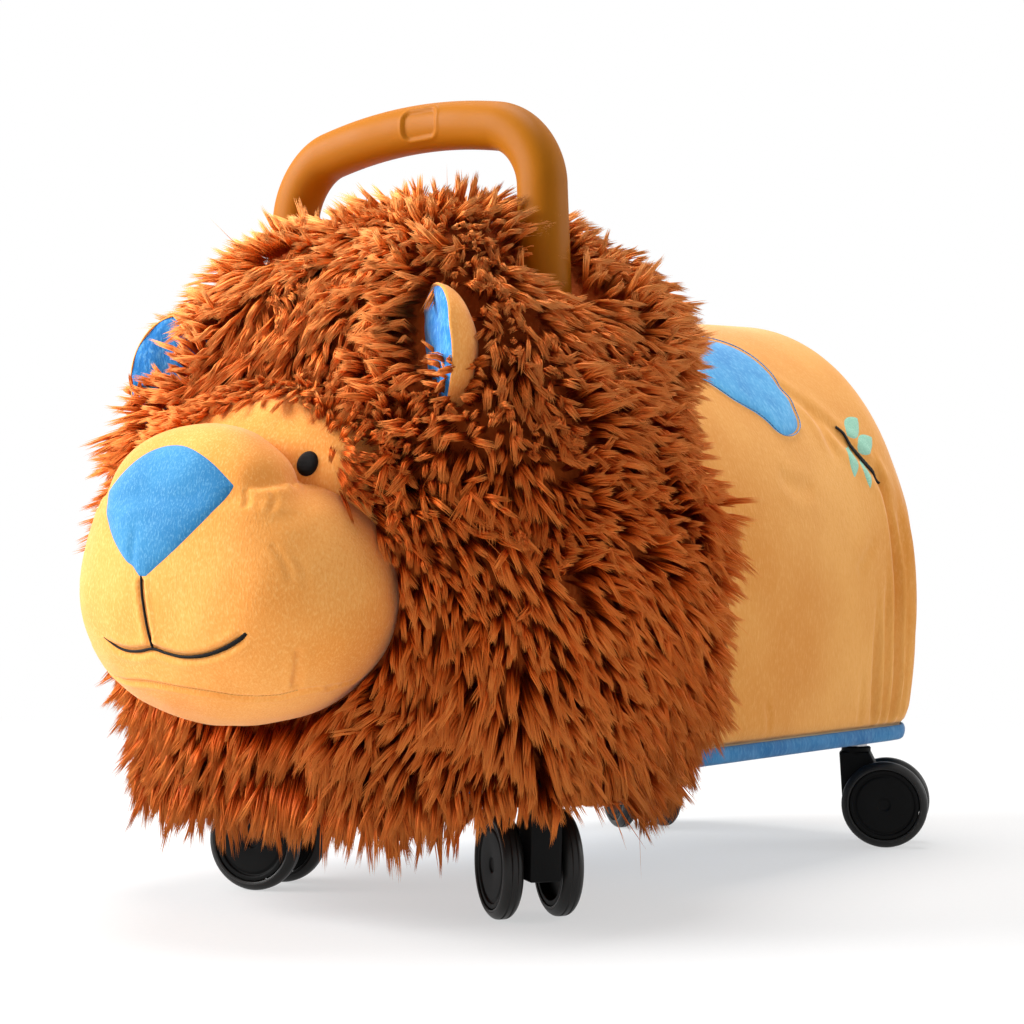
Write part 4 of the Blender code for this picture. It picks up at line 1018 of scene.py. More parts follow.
def makeNose():
    # the outline's rings drawn in to its middle and laid on the snout, padded by pad*(1 - ring^9)
    edge = resample(noseOutline(), nose["around"], closed=True)
    share = 1 - (1 - np.linspace(0, 1, nose["rings"])) ** 1.6
    rings = [0.0, nose["middleZ"]] + (edge - [0.0, nose["middleZ"]]) * share[:, None, None]
    pad = (nose["pad"] + nose["bed"]) * (1 - share ** 9)[:, None] - nose["bed"]
    tipFold = 0.9 * bell(rings[..., 0] + 7.5, 3.0) * bell(rings[..., 1] - 169.0, 9.0)
    laid, normals = onMuzzle(rings)
    rows = laid + normals * (pad - tipFold)[..., None]
    rows = rows + normals * (0.35 * waves(rows, 24.0, 31) * (1 - share[:, None] ** 4))[..., None]
    form = twoFaced(rows, laid - normals * nose["back"])
    putPiece("nose_plush", form, "nose", "nose")


def threadAlong(line, lay, widths, lift, pitch, high=0.55):
    # a closed ridge of oval section along a line that lay() puts on a surface, its stitches counted
    points, normals = lay(line, lift)
    sides = unit(np.cross(unit(np.gradient(points, axis=0)), normals))
    turn = fullTurn(10)
    across = np.cos(turn)[None, :, None] * sides[:, None] * np.broadcast_to(widths, len(line))[:, None, None]
    rows = points[:, None] + across + np.sin(turn)[None, :, None] * normals[:, None] * high
    rows = np.concatenate([poleRow(points[0], 10), rows, poleRow(points[-1], 10)])
    run = np.pad(runOf(points) / pitch, 1, "edge")[:, None]
    return roundForm(rows, stacked(turn[None, :] / (2 * np.pi), run + 0.35 * np.cos(turn)[None, :]))


def makeMouth():
    # one stitched line down from the nose and one across, which thickens and frays at the lion's left end,
    # and the thin seam of the chin
    rng = np.random.default_rng(5)
    down = threadAlong(resample(philtrum, 120), onMuzzle, 0.6, -0.3, 0.8)
    share = np.linspace(0, 1, 300)
    width = 0.3 + 0.35 * smoothStep(0.0, 0.25, share) + 0.35 * smoothStep(0.45, 1.0, share)
    width = width + 0.1 * rng.normal(size=300) * smoothStep(0.55, 1.0, share)
    across = threadAlong(resample(mouth, 300), onMuzzle, width, -0.35, 0.8)
    putPiece("mouth_stitching", joined([down, across]), "blackThread")
    seam = threadAlong(resample(chinSeam, 260)[22:-34], onMuzzle, 0.28, -1.0, 1.5, high=0.3)
    putPiece("chin_seam_stitching", seam, "yellowThread")


def makeEyes():
    # a stitched oval padded by pad*(1 - ring^5), on the face
    turn = fullTurn(64)
    share = 1 - (1 - np.linspace(0, 1, 20)) ** 1.5
    outline = stacked(np.cos(turn) * eye["halfWidth"], np.sin(turn) * eye["halfHeight"])
    for side, label in leftRight:
        flat = outline * share[:, None, None] + [side * eye["x"], eye["z"]]
        laid, normals = onFront(flat, faceFront)
        laid = laid + normals * faceDents(laid)[..., None]
        lift = (eye["pad"] + eye["bed"]) * (1 - share ** 5) - eye["bed"]
        rows = laid + normals * lift[:, None, None]
        form = twoFaced(rows, laid - normals * eye["back"], flat / [1.0, 0.55])
        putPiece(f"eye_stitching_{label}", form, "blackThread", f"eye_{label}")


# Spot patch and sprig, laid on the seat by (y, s), where s is about the height along the arch in mm

patch = dict(centre=(104.0, 112.0), pad=1.7, rings=34, around=260, seam=1.6)
patchEdge = smoothCurve([
    (60.0, 105.0), (71.0, 96.0), (81.0, 90.8), (90.0, 86.6), (97.0, 81.7), (101.5, 77.2), (107.0, 74.5),
    (117.6, 74.5), (128.0, 77.6), (134.7, 83.0), (137.8, 93.4), (139.8, 108.6), (140.0, 122.6),
    (137.0, 134.8), (129.0, 145.0), (116.0, 151.8), (98.0, 155.3), (76.0, 150.8), (58.0, 137.3),
    (49.0, 121.5), (52.0, 111.4), (60.0, 105.0),
], 300)[:-1]
sprigStem = smoothCurve([
    (174.4, 82.0), (179.3, 78.2), (183.4, 72.1), (189.0, 66.6), (195.0, 61.5), (200.9, 57.1), (205.0, 52.6),
], 80)
sprigLeaves = [  # (foot, tip, half width)
    ((181.0, 76.5), (207.0, 88.0), 6.4), ((187.5, 68.5), (213.0, 76.5), 6.0),
    ((182.4, 73.0), (172.6, 53.5), 5.4), ((190.0, 65.6), (187.5, 48.0), 4.6),
]
archLength = 202.5  # of s on the quarter arch


def onSeat(places, lift, step=0.5):
    # (y, s) places on the finished cover, lifted along its normal
    y, way = places[..., 0].ravel(), 1 + places[..., 1].ravel() / archLength
    across = seatSection(y, way + 0.002) - seatSection(y, way - 0.002)
    normals = unit(np.cross(seatSection(y + step, way) - seatSection(y - step, way), across))
    shape = (*places.shape[:-1], 3)
    points, normals = seatRelief(seatSection(y, way), normals).reshape(shape), normals.reshape(shape)
    return points + normals * np.broadcast_to(lift, places.shape[:-1])[..., None], normals


def padOn(edge, centre, rings, pad, soft, under=-1.2):
    # a closed pad: the edge's rings drawn in to its centre, lifted by pad*(1 - ring^soft), over a flat back
    share = (1 - (1 - np.linspace(0, 1, rings)) ** 1.6)[:, None]
    places = centre + (edge - centre) * share[..., None]
    front = onSeat(places, under + (pad - under) * (1 - share ** soft))[0]
    return twoFaced(front, onSeat(places, under)[0], places)


def makePatch():
    edge = resample(patchEdge, patch["around"], closed=True)
    points, faces, _ = padOn(edge, patch["centre"], patch["rings"], patch["pad"], 8)
    putPiece("spot_plush", (points, faces, None), "spot", "spot_patch")
    inner = edge + unit(patch["centre"] - edge) * patch["seam"]
    stitches = threadAlong(np.vstack([inner, inner[:1]]), onSeat, 0.3, 1.05, 2.2, high=0.3)
    putPiece("spot_edge_stitching", stitches, "blueThread")


def makeSprig():
    # a stitched stem with two paler leaves on each side, each half*sin(pi*s^0.8)^0.8 wide
    width = 1.0 + 0.8 * np.sin(np.linspace(0.2, 2.6, 120))
    stem = threadAlong(resample(sprigStem, 120), onSeat, width, 0.35, 0.7)
    putPiece("sprig_stem_stitching", stem, "blackThread")
    s = np.linspace(0, 1, 40)[:, None]
    leaves = []
    for foot, tip, half in sprigLeaves:
        foot, long = np.array(foot), np.subtract(tip, foot)
        way = long / lengthOf(long)
        side = np.array([-way[1], way[0]])
        wide = side * half * np.sin(np.pi * s ** 0.8) ** 0.8
        edge = np.vstack([foot + long * s + wide, (foot + long * s - wide)[::-1]])
        edge = resample(edge, 90, closed=True)
        points, faces, places = padOn(edge, foot + 0.5 * long, 12, 0.55, 5, under=-0.6)
        leaves.append((points, faces, stacked((places - foot) @ side, (places - foot) @ way / 0.75)))
    putPiece("sprig_leaf_stitching", joined(leaves), "mintThread")


# Ears: a yellow back with a rolled rim, and a dished blue front inside it

ear = dict(
    x=80.5, y=-169.0, z=254.5, halfWidth=27.0, halfHeight=33.3, turn=33.5, back=18.0, front=0.5,
    rim=0.97, dish=2.2, floor=2.0, thick=1.0, rollBack=1.0, rollTurn=0.72,  # how the yellow rim rolls over
)


def earAxes(side):
    # the ear's centre, and its directions across and forward, turned about the upright
    angle = math.radians(-side * ear["turn"])
    c, s = math.cos(angle), math.sin(angle)
    return np.array([side * ear["x"], ear["y"], ear["z"]]), np.array([c, s, 0.0]), np.array([s, -c, 0.0])


def earGrid(side, share, turn):
    # places on the ear's flat oval
    centre, across, forward = earAxes(side)
    wide, high = share * np.cos(turn) * ear["halfWidth"], share * np.sin(turn) * ear["halfHeight"]
    return centre + wide[..., None] * across + high[..., None] * upright, forward


def makeEars():
    turn = fullTurn(120)[None, :]
    rim, floor = ear["rim"], ear["floor"]
    dome, roll, inner = np.linspace(0, 0.97, 22), np.linspace(0, 1, 14)[1:], np.linspace(rim, 0, 10)[1:]
    front = np.linspace(0, 1, 26)
    share = np.concatenate([dome, 1 - 0.5 * (1 - rim) * (1 - np.cos(np.pi * roll)), inner])
    depth = np.concatenate([
        np.minimum(-ear["back"] * np.sqrt(1 - dome ** 2), -floor),
        -ear["rollBack"] + (ear["front"] + ear["rollBack"]) * np.sin(np.pi * roll * ear["rollTurn"]),
        -floor - 1.5 * (1 - inner / rim),
    ])
    rise = (1.0 + ear["dish"] * (1 - front ** 2.2) - 1.2 * front ** 14)[:, None, None]
    for side, label in leftRight:
        flat, forward = earGrid(side, share[:, None], turn)
        rows = flat + forward * depth[:, None, None]
        rows = rows + 0.5 * waves(rows, 16.0, 41 + side)[..., None] * forward
        form = roundForm(rows)
        putPiece(f"ear_back_plush_{label}", form, "yellow", f"ear_back_{label}")
        flat, forward = earGrid(side, front[:, None] * (rim + 0.02), turn)
        rows = flat + forward * rise
        rows = rows + 0.45 * waves(rows, 14.0, 51 + side)[..., None] * forward
        form = twoFaced(rows, flat + forward * (rise - ear["thick"]))
        putPiece(f"ear_front_plush_{label}", form, "blue", f"ear_front_{label}")


# Handle: a satin U of oval section on two foot plates

handle = dict(
    y=-90.0, endZ=369.3, crown=12.0, radius=11.7, half=80.7, corner=26.0, splay=0.044, power=2.25, points=370,
    recessX=13.0, recessHalf=(10.5, 7.0), recessCorner=4.0, recessDepth=1.2, recessRim=0.45,
    footShift=-12.0, footHalf=(23.0, 20.0), footCorner=8.0, footLow=77.6, footHigh=84.6,
    clear=12.8, bare=15.0,  # how far locks' points and roots keep from a leg's middle
)
cornerX, cornerZ = handle["half"] - handle["corner"], handle["endZ"] - handle["corner"]


def legX(z):
    # how far out a leg's middle is at that height
    return handle["half"] + handle["splay"] * (cornerZ - z)


def barZ(x):
    # how much the bar's crown adds: 12*(1 - (x/80.7)^2)
    return handle["crown"] * np.maximum(0, 1 - (x / handle["half"]) ** 2)


def handleLine():
    # the bar's middle, a quarter circle at each corner and the splayed legs, with the bar's crown added
    turn = np.linspace(0, 0.5 * np.pi, 40)
    arc = stacked(np.sin(turn), np.cos(turn)) * handle["corner"] + [cornerX, cornerZ]
    foot = handle["footHigh"] - 3.0
    half = resample(np.vstack([[[0.0, handle["endZ"]]], arc, [[legX(foot), foot]]]), handle["points"])
    half[:, 1] += barZ(half[:, 0])
    return np.insert(np.vstack([half[::-1] * [-1, 1], half[1:]]), 1, handle["y"], axis=1)


def makeHandle():
    line = handleLine()
    ahead = np.array([0.0, -1.0, 0.0])
    sides = np.cross(unit(np.gradient(line, axis=0)), ahead)[:, None]
    turn = fullTurn(96)
    c, s, power = np.cos(turn), np.sin(turn), handle["power"]
    size = handle["radius"] * (np.abs(c) ** power + np.abs(s) ** power) ** (-1 / power)
    rows = line[:, None] + (size * c)[None, :, None] * ahead + (size * s)[None, :, None] * sides

    # a shallow recess: a rounded rectangle pressed into the bar's front, with a low rim
    middle = [handle["recessX"], handle["endZ"] + barZ(handle["recessX"])]
    away = np.abs(rows[..., [0, 2]] - middle) - handle["recessHalf"] + handle["recessCorner"]
    gap = lengthOf(np.maximum(away, 0)) + np.minimum(away.max(-1), 0) - handle["recessCorner"]
    press = handle["recessRim"] * bell(gap - 1.0, 0.7) - handle["recessDepth"] * smoothStep(0.35, -0.55, gap)
    rows = rows + unit(rows - line[:, None]) * (press * smoothStep(0.2, 0.5, c)[None, :])[..., None]
    parts = [roundForm(np.concatenate([poleRow(line[0], 96), rows, poleRow(line[-1], 96)]))]

    # foot plates: a rounded rectangle at each (share of its size, share of its height)
    turn = np.linspace(0, 2 * np.pi, 72, endpoint=False)
    around = stacked(np.cos(turn), np.sin(turn))
    corner = handle["footCorner"]
    spot = np.sign(around) * np.subtract(handle["footHalf"], corner) + corner * around
    levels = [(0.0, 0.0), (1.0, 0.0), (1.0, 0.86), (0.99, 0.96), (0.97, 1.0), (0.0, 1.0)]
    wide, up = np.array(levels).T[..., None]
    z = handle["footLow"] + (handle["footHigh"] - handle["footLow"]) * up
    for side in bothSides:
        x = side * (legX(handle["footLow"]) + handle["footShift"])
        parts.append(roundForm(stacked(x + spot[:, 0] * wide, handle["y"] + spot[:, 1] * wide, z)))
    putPiece("grab_handle", joined(parts), "handle", "handle")


# Base: the blue cloth wrapped round the board's edge

baseLevels = [  # (inset, height, share of the puckers): floor, lip, padded side, rolled edge, underside
    (60.0, 2.6, 0), (2.9, 2.6, 0), (2.6, 3.0, 0), (2.5, 8.6, 0), (1.9, 9.0, 0.2), (1.0, 8.9, 0.6),
    (0.35, 8.0, 1), (-0.15, 6.4, 1), (-0.2, 4.4, 1), (0.1, 2.6, 1), (0.8, 1.2, 0.8), (1.9, 0.4, 0.5),
    (3.6, 0.05, 0.2),
    (6.0, 0.0, 0), (60.0, 0.0, 0),
]


def makeBase():
    low = nodeBox("base_cover")[0, 2]
    stations = seatStations(160, np.linspace(0, 1, 24)[1:])
    half = seatHalf(stations)[0] - seat["tuck"]
    outline = np.vstack([stacked(half, stations), stacked(-half, stations)[::-1]])
    outline = resample(outline, 700, closed=True)
    inward = inwardOf(outline)
    rows = np.array([np.insert(outline + inward * inset, 2, low + up, axis=1) for inset, up, _ in baseLevels])
    pucker = 0.3 * waves(rows, 9.0, 61) + 0.35 * waves(rows, 34.0, 62)
    share = np.array(baseLevels)[:, 2, None]
    rows = rows - np.insert(inward, 2, 0.0, axis=1) * (pucker * share)[..., None]
    ends = [poleRow([0.0, 48.0, low + up], len(outline)) for up in (baseLevels[0][1], baseLevels[-1][1])]
    form = roundForm(np.concatenate([ends[0], rows, ends[1]]))
    putPiece("base_cloth", form, "strip", "base_cover")


# Casters: twin wheels with soft tyres, a moulded housing and a steel stem

wheel = dict(radius=25.0, tyre=4.8, inner=9.5, outer=19.5, sides=96)
housing = dict(
    half=7.5, top=57.5, boss=5.5, front=8.0, back=9.5, lean=2.0, bottom=19.5, flange=8.6, flangeHigh=2.6,
)


def makeWheel(label, centre, axis):
    # profiles of (radius, distance from the housing's middle) for the recessed disc and its tyre
    outer, inner, rim = wheel["outer"], wheel["inner"], wheel["radius"]
    core, face = rim - wheel["tyre"], outer - 0.9
    disc = roundedProfile([
        (0.0, face - 1.5), (3.2, face - 1.5), (3.8, face - 0.7), (core - 4.6, face - 0.35),
        (core - 3.6, face - 0.95), (core - 2.9, face - 0.95), (core - 2.3, face), (core - 0.15, face),
        (core - 0.15, inner + 0.5),
        (core - 2.6, inner + 0.5), (core - 3.0, face - 4.2), (8.0, face - 4.2), (7.6, inner - 1.3),
        (3.2, inner - 1.3), (0.0, inner - 1.3),
    ], 0.5, 4)
    band = roundedProfile([
        (core + 0.1, inner + 0.2), (core + 0.5, inner), (rim - 2.6, inner), (rim - 0.1, inner + 2.2),
        (rim, 0.5 * (inner + outer)), (rim - 0.1, outer - 2.2), (rim - 2.6, outer),
        (core + 0.6, outer - 0.25), (core + 0.1, outer - 0.7), (core + 0.1, inner + 0.6),
    ], 1.6, 6)
    body = f"wheel_{label}"
    form = lathe(disc, wheel["sides"], centre, axis)
    putPiece(f"wheel_disc_{label}", form, "nylon", f"wheel_{label}", body=body, sharp=32)
    form = lathe(band, wheel["sides"], centre, axis, ring=True)
    putPiece(f"tyre_band_{label}", form, "tyre", f"tyre_{label}", body=body)


def makeHousing(side, pivot, direction, trail):
    # the side outline between the wheels, with rounded edges, and the stepped flange under the base
    half, boss, back, bottom = housing["half"], housing["boss"], housing["back"], housing["bottom"]
    neckTop = housing["top"] - housing["flangeHigh"]
    turn = np.linspace(-0.7 * np.pi, 0.25 * np.pi, 24)
    outline = np.vstack([
        [(housing["front"], neckTop), (-back, neckTop)],
        [(-back + housing["lean"], bottom), (trail - 2 * boss, bottom)],
        stacked(trail + boss * np.cos(turn), wheel["radius"] + boss * np.sin(turn)),
    ])
    outline = resample(roundedProfile(np.vstack([outline, outline[:1]]), 1.2, 5), 160)[:-1]
    inward = inwardOf(outline)
    across = np.cross(upright, direction)
    rows = []
    for inset, out in ((0.8, -1.0), (0.25, -0.96), (0.0, -0.88), (0.0, 0.88), (0.25, 0.96), (0.8, 1.0)):
        flat = outline + inward * inset
        rows.append(pivot + flat[:, :1] * direction + flat[:, 1:] * upright + across * (out * half))
    ends = np.arange(len(outline))[None, :]
    faces = [gridFaces(len(rows), len(outline), closed=True), ends[:, ::-1], ends + 5 * len(outline)]
    flange, top = housing["flange"], housing["top"]
    ring = lathe([
        (0.0, neckTop - 2.6), (half - 0.4, neckTop - 2.6), (flange - 0.4, neckTop - 0.5), (flange, neckTop),
        (flange, top - 0.5), (flange - 0.5, top), (0.0, top),
    ], 64, pivot, upright)
    form = joined([(np.vstack(rows), faces, None), ring])
    name = f"caster_housing_{side}"
    putPiece(name, form, "nylon", f"housing_{side}", body=f"caster_{side}", sharp=28)


def makeCasters():
    # pivots and wheel centres come from the frame's stems and wheels
    for side in corners:
        pivot = nodeMiddle(f"stem_{side}") * [1, 1, 0]
        centre = nodeMiddle(f"axle_{side}")
        away = (centre - pivot) * [1, 1, 0]
        makeHousing(side, pivot, unit(away), lengthOf(away))
        for letter in ("a", "b"):
            label = f"{letter}_{side}"
            makeWheel(label, centre, unit(nodeMiddle(f"tyre_{label}") - centre))


makeSeat()
makePatch()
makeSprig()
print("seat, patch and sprig made")
makeMuzzle()
makeFace()
makeNose()
makeMouth()
makeEyes()
makeEars()
print("head made")
makeHandle()
makeBase()
makeCasters()
print("handle, base and casters made")


# Mane fur: locks of strands rooted under the outer shape, and a backing skin

def furRoots(rng):
    # places (angle, way) in rows of equal length round the form, each moved at random
    rows = int(maneLength / fur["step"])
    turn = np.linspace(0, 2 * np.pi, 500)
    angles, ways = [], []
    for way in (np.arange(rows) + 0.5) / rows:
        run = runOf(maneOuter(turn, way))
        count = max(4, int(run[-1] / fur["step"]))
        at = (np.arange(count) + rng.uniform()) / count * run[-1]
        angles.append(np.interp(at, run, turn))
        ways.append(np.full(count, way))
    angles, ways = np.concatenate(angles), np.concatenate(ways)
    jitter = fur["jitter"] * fur["step"]
    angles = angles + rng.normal(size=len(angles)) * jitter / fur["radius"]
    return angles, np.clip(ways + rng.normal(size=len(ways)) * jitter / maneLength, 0, 1)


def earShare(points, side, grow):
    # under 1 inside an oval round the ear, turned with it
    centre, across, forward = earAxes(side)
    away = points - centre
    deep = 0.5 * ear["back"]
    wide = away @ across / (ear["halfWidth"] + grow)
    through = (away @ forward + deep) / (deep + 2.0 + grow)
    return lengthOf(stacked(wide, through, away[:, 2] / (ear["halfHeight"] + grow)))


def drift(points, size, seed):
    # three smooth random fields as a direction
    return stacked(*(waves(points, size, seed + k) for k in range(3)))


furLean = dict(
    down=0.4, downLow=0.8, outward=0.4,             # down everywhere, more so lower, and out on the crown
    faceZ=175.0, face=0.5, forelock=(0.25, -0.35, -0.75),  # away from the face, and over the forehead
    ear=0.5, earReach=34.0, earDrop=14.0,           # away from each ear's foot
    swirls=((0.55, 44.0, 71), (0.4, 95.0, 81), (0.42, 21.0, 61)),  # (share, size, seed)
    own=0.16,                                       # each lock's random part
)


def furLay(roots, normals, rng):
    # the way each lock leans: down, more so lower; outwards on the crown; away from the face beside it and
    # down over the forehead; with slow swirls and a random part of its own
    x, y, z = roots.T
    lean = -upright * (furLean["down"] + furLean["downLow"] * smoothStep(220, 80, z))[:, None]
    outward = unit(stacked(x, y - mane["centreY"], 0.0))
    lean = lean + outward * (furLean["outward"] * smoothStep(0.5, 0.95, normals[:, 2]))[:, None]
    fromFace = stacked(x, 0.0, z - furLean["faceZ"])
    beside = smoothStep(-150, -185, y) * smoothStep(165, 95, lengthOf(fromFace))
    forelock = smoothStep(62, 30, np.abs(x)) * smoothStep(225, 245, z) * smoothStep(-120, -165, y)
    beside = furLean["face"] * beside * (1 - forelock) * smoothStep(110, 150, z)
    lean = lean + unit(fromFace) * beside[:, None]
    lean = lean + np.array(furLean["forelock"]) * forelock[:, None]
    for side in bothSides:
        away = roots - [side * ear["x"], ear["y"], ear["z"] - furLean["earDrop"]]
        near = np.exp(-(lengthOf(away) / furLean["earReach"]) ** 4)[:, None]
        lean = lean * (1 - 0.8 * near) + unit(away) * (furLean["ear"] * near)
    for share, size, seed in furLean["swirls"]:
        lean = lean + share * drift(roots, size, seed)
    lean = lean + furLean["own"] * rng.normal(size=roots.shape)
    flat = lean - normals * np.einsum("ij,ij->i", lean, normals)[:, None]
    return unit(normals * (1 - 0.35 * smoothStep(225, 300, z))[:, None] + flat)


def clearOfPieces(points):
    # moves points that fall inside the face, muzzle or seat to its skin, off the handle's legs and out of
    # the space in which the front casters turn
    for oval, margin in ((face, 1.006), (muzzle["cheek"], 1.008), (muzzle["snout"], 1.01)):
        share = ovalShare(points, oval)
        moved = oval["centre"] + (points - oval["centre"]) * (margin / np.maximum(share, 0.2))[:, None]
        points = np.where((share < margin)[:, None], moved, points)
    gap = seatGap(points)
    inside = (gap < 1.0) & (points[:, 2] > seat["base"])
    away = unit(stacked(points[:, 0], 0.0, np.maximum(points[:, 2] - seat["springZ"], 0) + 1e-3))
    points = np.where(inside[:, None], points + away * (1.0 - np.maximum(gap, -14.0))[:, None], points)
    wide = np.abs(points[:, 0])
    soft = np.minimum(wide, fur["widest"]) + 0.25 * np.maximum(wide - fur["widest"], 0)
    points[:, 0] = np.sign(points[:, 0]) * soft
    for side in bothSides:
        leg = stacked(side * legX(points[:, 2]), handle["y"])
        away = points[:, :2] - leg
        gap = lengthOf(away)
        close = (gap < handle["clear"]) & (points[:, 2] < cornerZ)
        moved = leg + away * (handle["clear"] / np.maximum(gap, 0.5))[:, None]
        points[:, :2] = np.where(close[:, None], moved, points[:, :2])
        pivot = np.array([side * casterRoom["x"], casterRoom["y"]])
        away = points[:, :2] - pivot
        gap = lengthOf(away)
        low = (gap < casterRoom["reach"]) & (points[:, 2] < casterRoom["low"])
        pushed = low & (gap > casterRoom["lift"])
        moved = pivot + away * (casterRoom["reach"] / np.maximum(gap, 1.0))[:, None]
        points[:, :2] = np.where(pushed[:, None], moved, points[:, :2])
        points[:, 2] = np.where(low & ~pushed, casterRoom["top"] + waves(points, 7.0, 99), points[:, 2])
    return points


def strandForm(roots, starts, bends, lengths, thick, tints, rng):
    # each strand: a root point, a three-cornered ring and a tip, on root + length*(t*start + t^2*bend)
    count, ringAt = len(roots), 0.64
    t = np.array([0.0, ringAt, 1.0])[:, None]
    path = roots[:, None] + lengths[:, None, None] * (t * starts[:, None] + t ** 2 * bends[:, None])
    path = clearOfPieces(path.reshape(-1, 3)).reshape(count, 3, 3)
    heading = unit(path[:, 2] - path[:, 0])
    across = unit(np.cross(heading, rng.normal(size=(count, 3))))
    turn = fullTurn(3)[:, None]
    spokes = np.cos(turn) * across[:, None] + np.sin(turn) * np.cross(heading, across)[:, None]
    points = np.concatenate([path[:, :1], path[:, 1:2] + spokes * thick[:, None, None], path[:, 2:]], 1)
    k = np.arange(3)
    n = (k + 1) % 3
    first = 5 * np.arange(count)[:, None, None]
    fans = (stacked(0, 1 + n, 1 + k), stacked(4, 1 + k, 1 + n))
    ends = [(fan + first).reshape(-1, 3) for fan in fans]
    pattern = stacked(np.repeat(tints, 5), np.tile([0.0, ringAt, ringAt, ringAt, 1.0], count))
    return points.reshape(-1, 3), [np.vstack(ends)], pattern


def faceLocks():
    # roots on the face round the oval that stays bare, with the face's normal there; none over the far eye
    x, z = np.meshgrid(*(np.arange(*span, brow["step"]) for span in (brow["across"], brow["up"])))
    rng = np.random.default_rng(23)
    x, z = (v.ravel() + rng.uniform(-0.45, 0.45, v.size) * brow["step"] for v in (x, z))
    bare = np.hypot((x - brow["x"]) / brow["halfWidth"], (z - brow["z"]) / brow["halfHeight"])
    edge = np.hypot(x / face["radii"][0], (z - face["centre"][2]) / face["radii"][2])
    farEye = np.hypot((x + eye["x"]) / brow["eyeWidth"], (z - eye["z"] - brow["eyeUp"]) / brow["eyeHeight"])
    keep = (bare > 1) & (edge < 0.985) & (farEye > 1)
    points = stacked(x[keep], faceFront(x[keep], z[keep]), z[keep])
    points = points[(ovalShare(points, muzzle["cheek"]) > 1.02) & (ovalShare(points, muzzle["snout"]) > 1.02)]
    normals = unit((points - face["centre"]) / np.square(face["radii"]))
    return points - normals * brow["inset"], normals


def furDraw(outer):
    # how much further in the fur sits: at the hem, in a hollow over the seat, about the face and in dents
    y, z = outer[..., 1], outer[..., 2]
    hem = fur["hemDepth"] * smoothStep(140, 70, z)
    back = fur["hollow"] * bell(z - fur["hollowZ"], fur["hollowHigh"]) * smoothStep(-60, 0, y)
    chest = fur["chest"] * smoothStep(165, 130, z)
    beside = fur["brow"] * smoothStep(145, 175, z) * smoothStep(262, 225, z)
    dents = sum(deep * bell(lengthOf(outer - place), size) for place, size, deep in furDents)
    return hem + back + smoothStep(-140, -185, y) * (chest - beside) + dents


def earLocks():
    # roots on both faces of each ear's foot, with each face's own direction
    rng = np.random.default_rng(29)
    grid = np.arange(-1.0, 1.01, fur["earStep"] / ear["halfWidth"])
    roots, normals = [], []
    for side in bothSides:
        a, b = (v.ravel() + rng.uniform(-0.07, 0.07, v.size) for v in np.meshgrid(grid, grid))
        share, turn = np.hypot(a, b), np.arctan2(b, a)
        keep = (share < 0.98) & (b < -0.04 + 0.08 * rng.normal(size=b.size))
        flat, forward = earGrid(side, share[keep], turn[keep])
        dome = (ear["back"] - 2.0) * np.sqrt(1 - share[keep, None] ** 2)
        roots += [flat - 2.0 * forward, flat - forward * dome]
        normals += [forward + 0 * flat, -forward + 0 * flat]
    return np.vstack(roots), np.vstack(normals)


def fringeLocks(rng):
    # a row of roots over the front of the hem and a row a little higher
    begin, end = math.radians(fur["fringeFrom"]), math.radians(fur["fringeTo"])
    angles = np.arange(begin, end, fur["fringeStep"] / fur["radius"])
    rows = []
    for high, inset in ((0.0, 10.0), (5.0, 12.0)):
        way = np.interp(fur["fringeZ"] + high, maneHeights, maneWays)
        rows.append(manePoint(angles + rng.normal(size=len(angles)) * 0.008, way, inset))
    return (np.vstack(part) for part in zip(*rows))


def hemLine(points):
    # the height under which no lock starts: 50 in front, rising by 15 to the rear
    return fur["rearZ"] + fur["rearRise"] * smoothStep(-120, -50, points[..., 1])


def maneLocks(rng):
    # roots all over the mane but inside no other piece and out of the space of the casters
    outer, normals = manePoint(*furRoots(rng))
    roots = outer - normals * (fur["depth"] + furDraw(outer))[:, None]
    x, y, z = roots.T
    keep = z > hemLine(roots)
    for oval, margin in ((face, 1.0), (muzzle["cheek"], 0.98), (muzzle["snout"], 0.98)):
        keep &= ovalShare(roots, oval) > margin
    keep &= (seatGap(roots) > -3.0) | (z < seat["base"])
    for side in bothSides:
        keep &= earShare(roots, side, 1.0) > 1
        keep &= (earShare(roots, side, 3.0) > 1) | (z < ear["z"] - 4.0)
        room = np.hypot(x - side * casterRoom["x"], y - casterRoom["y"]) > casterRoom["bare"]
        keep &= room | (z > casterRoom["bareZ"])
        keep &= np.hypot(x - side * legX(z), y - handle["y"]) > handle["bare"]
    return roots[keep], normals[keep]


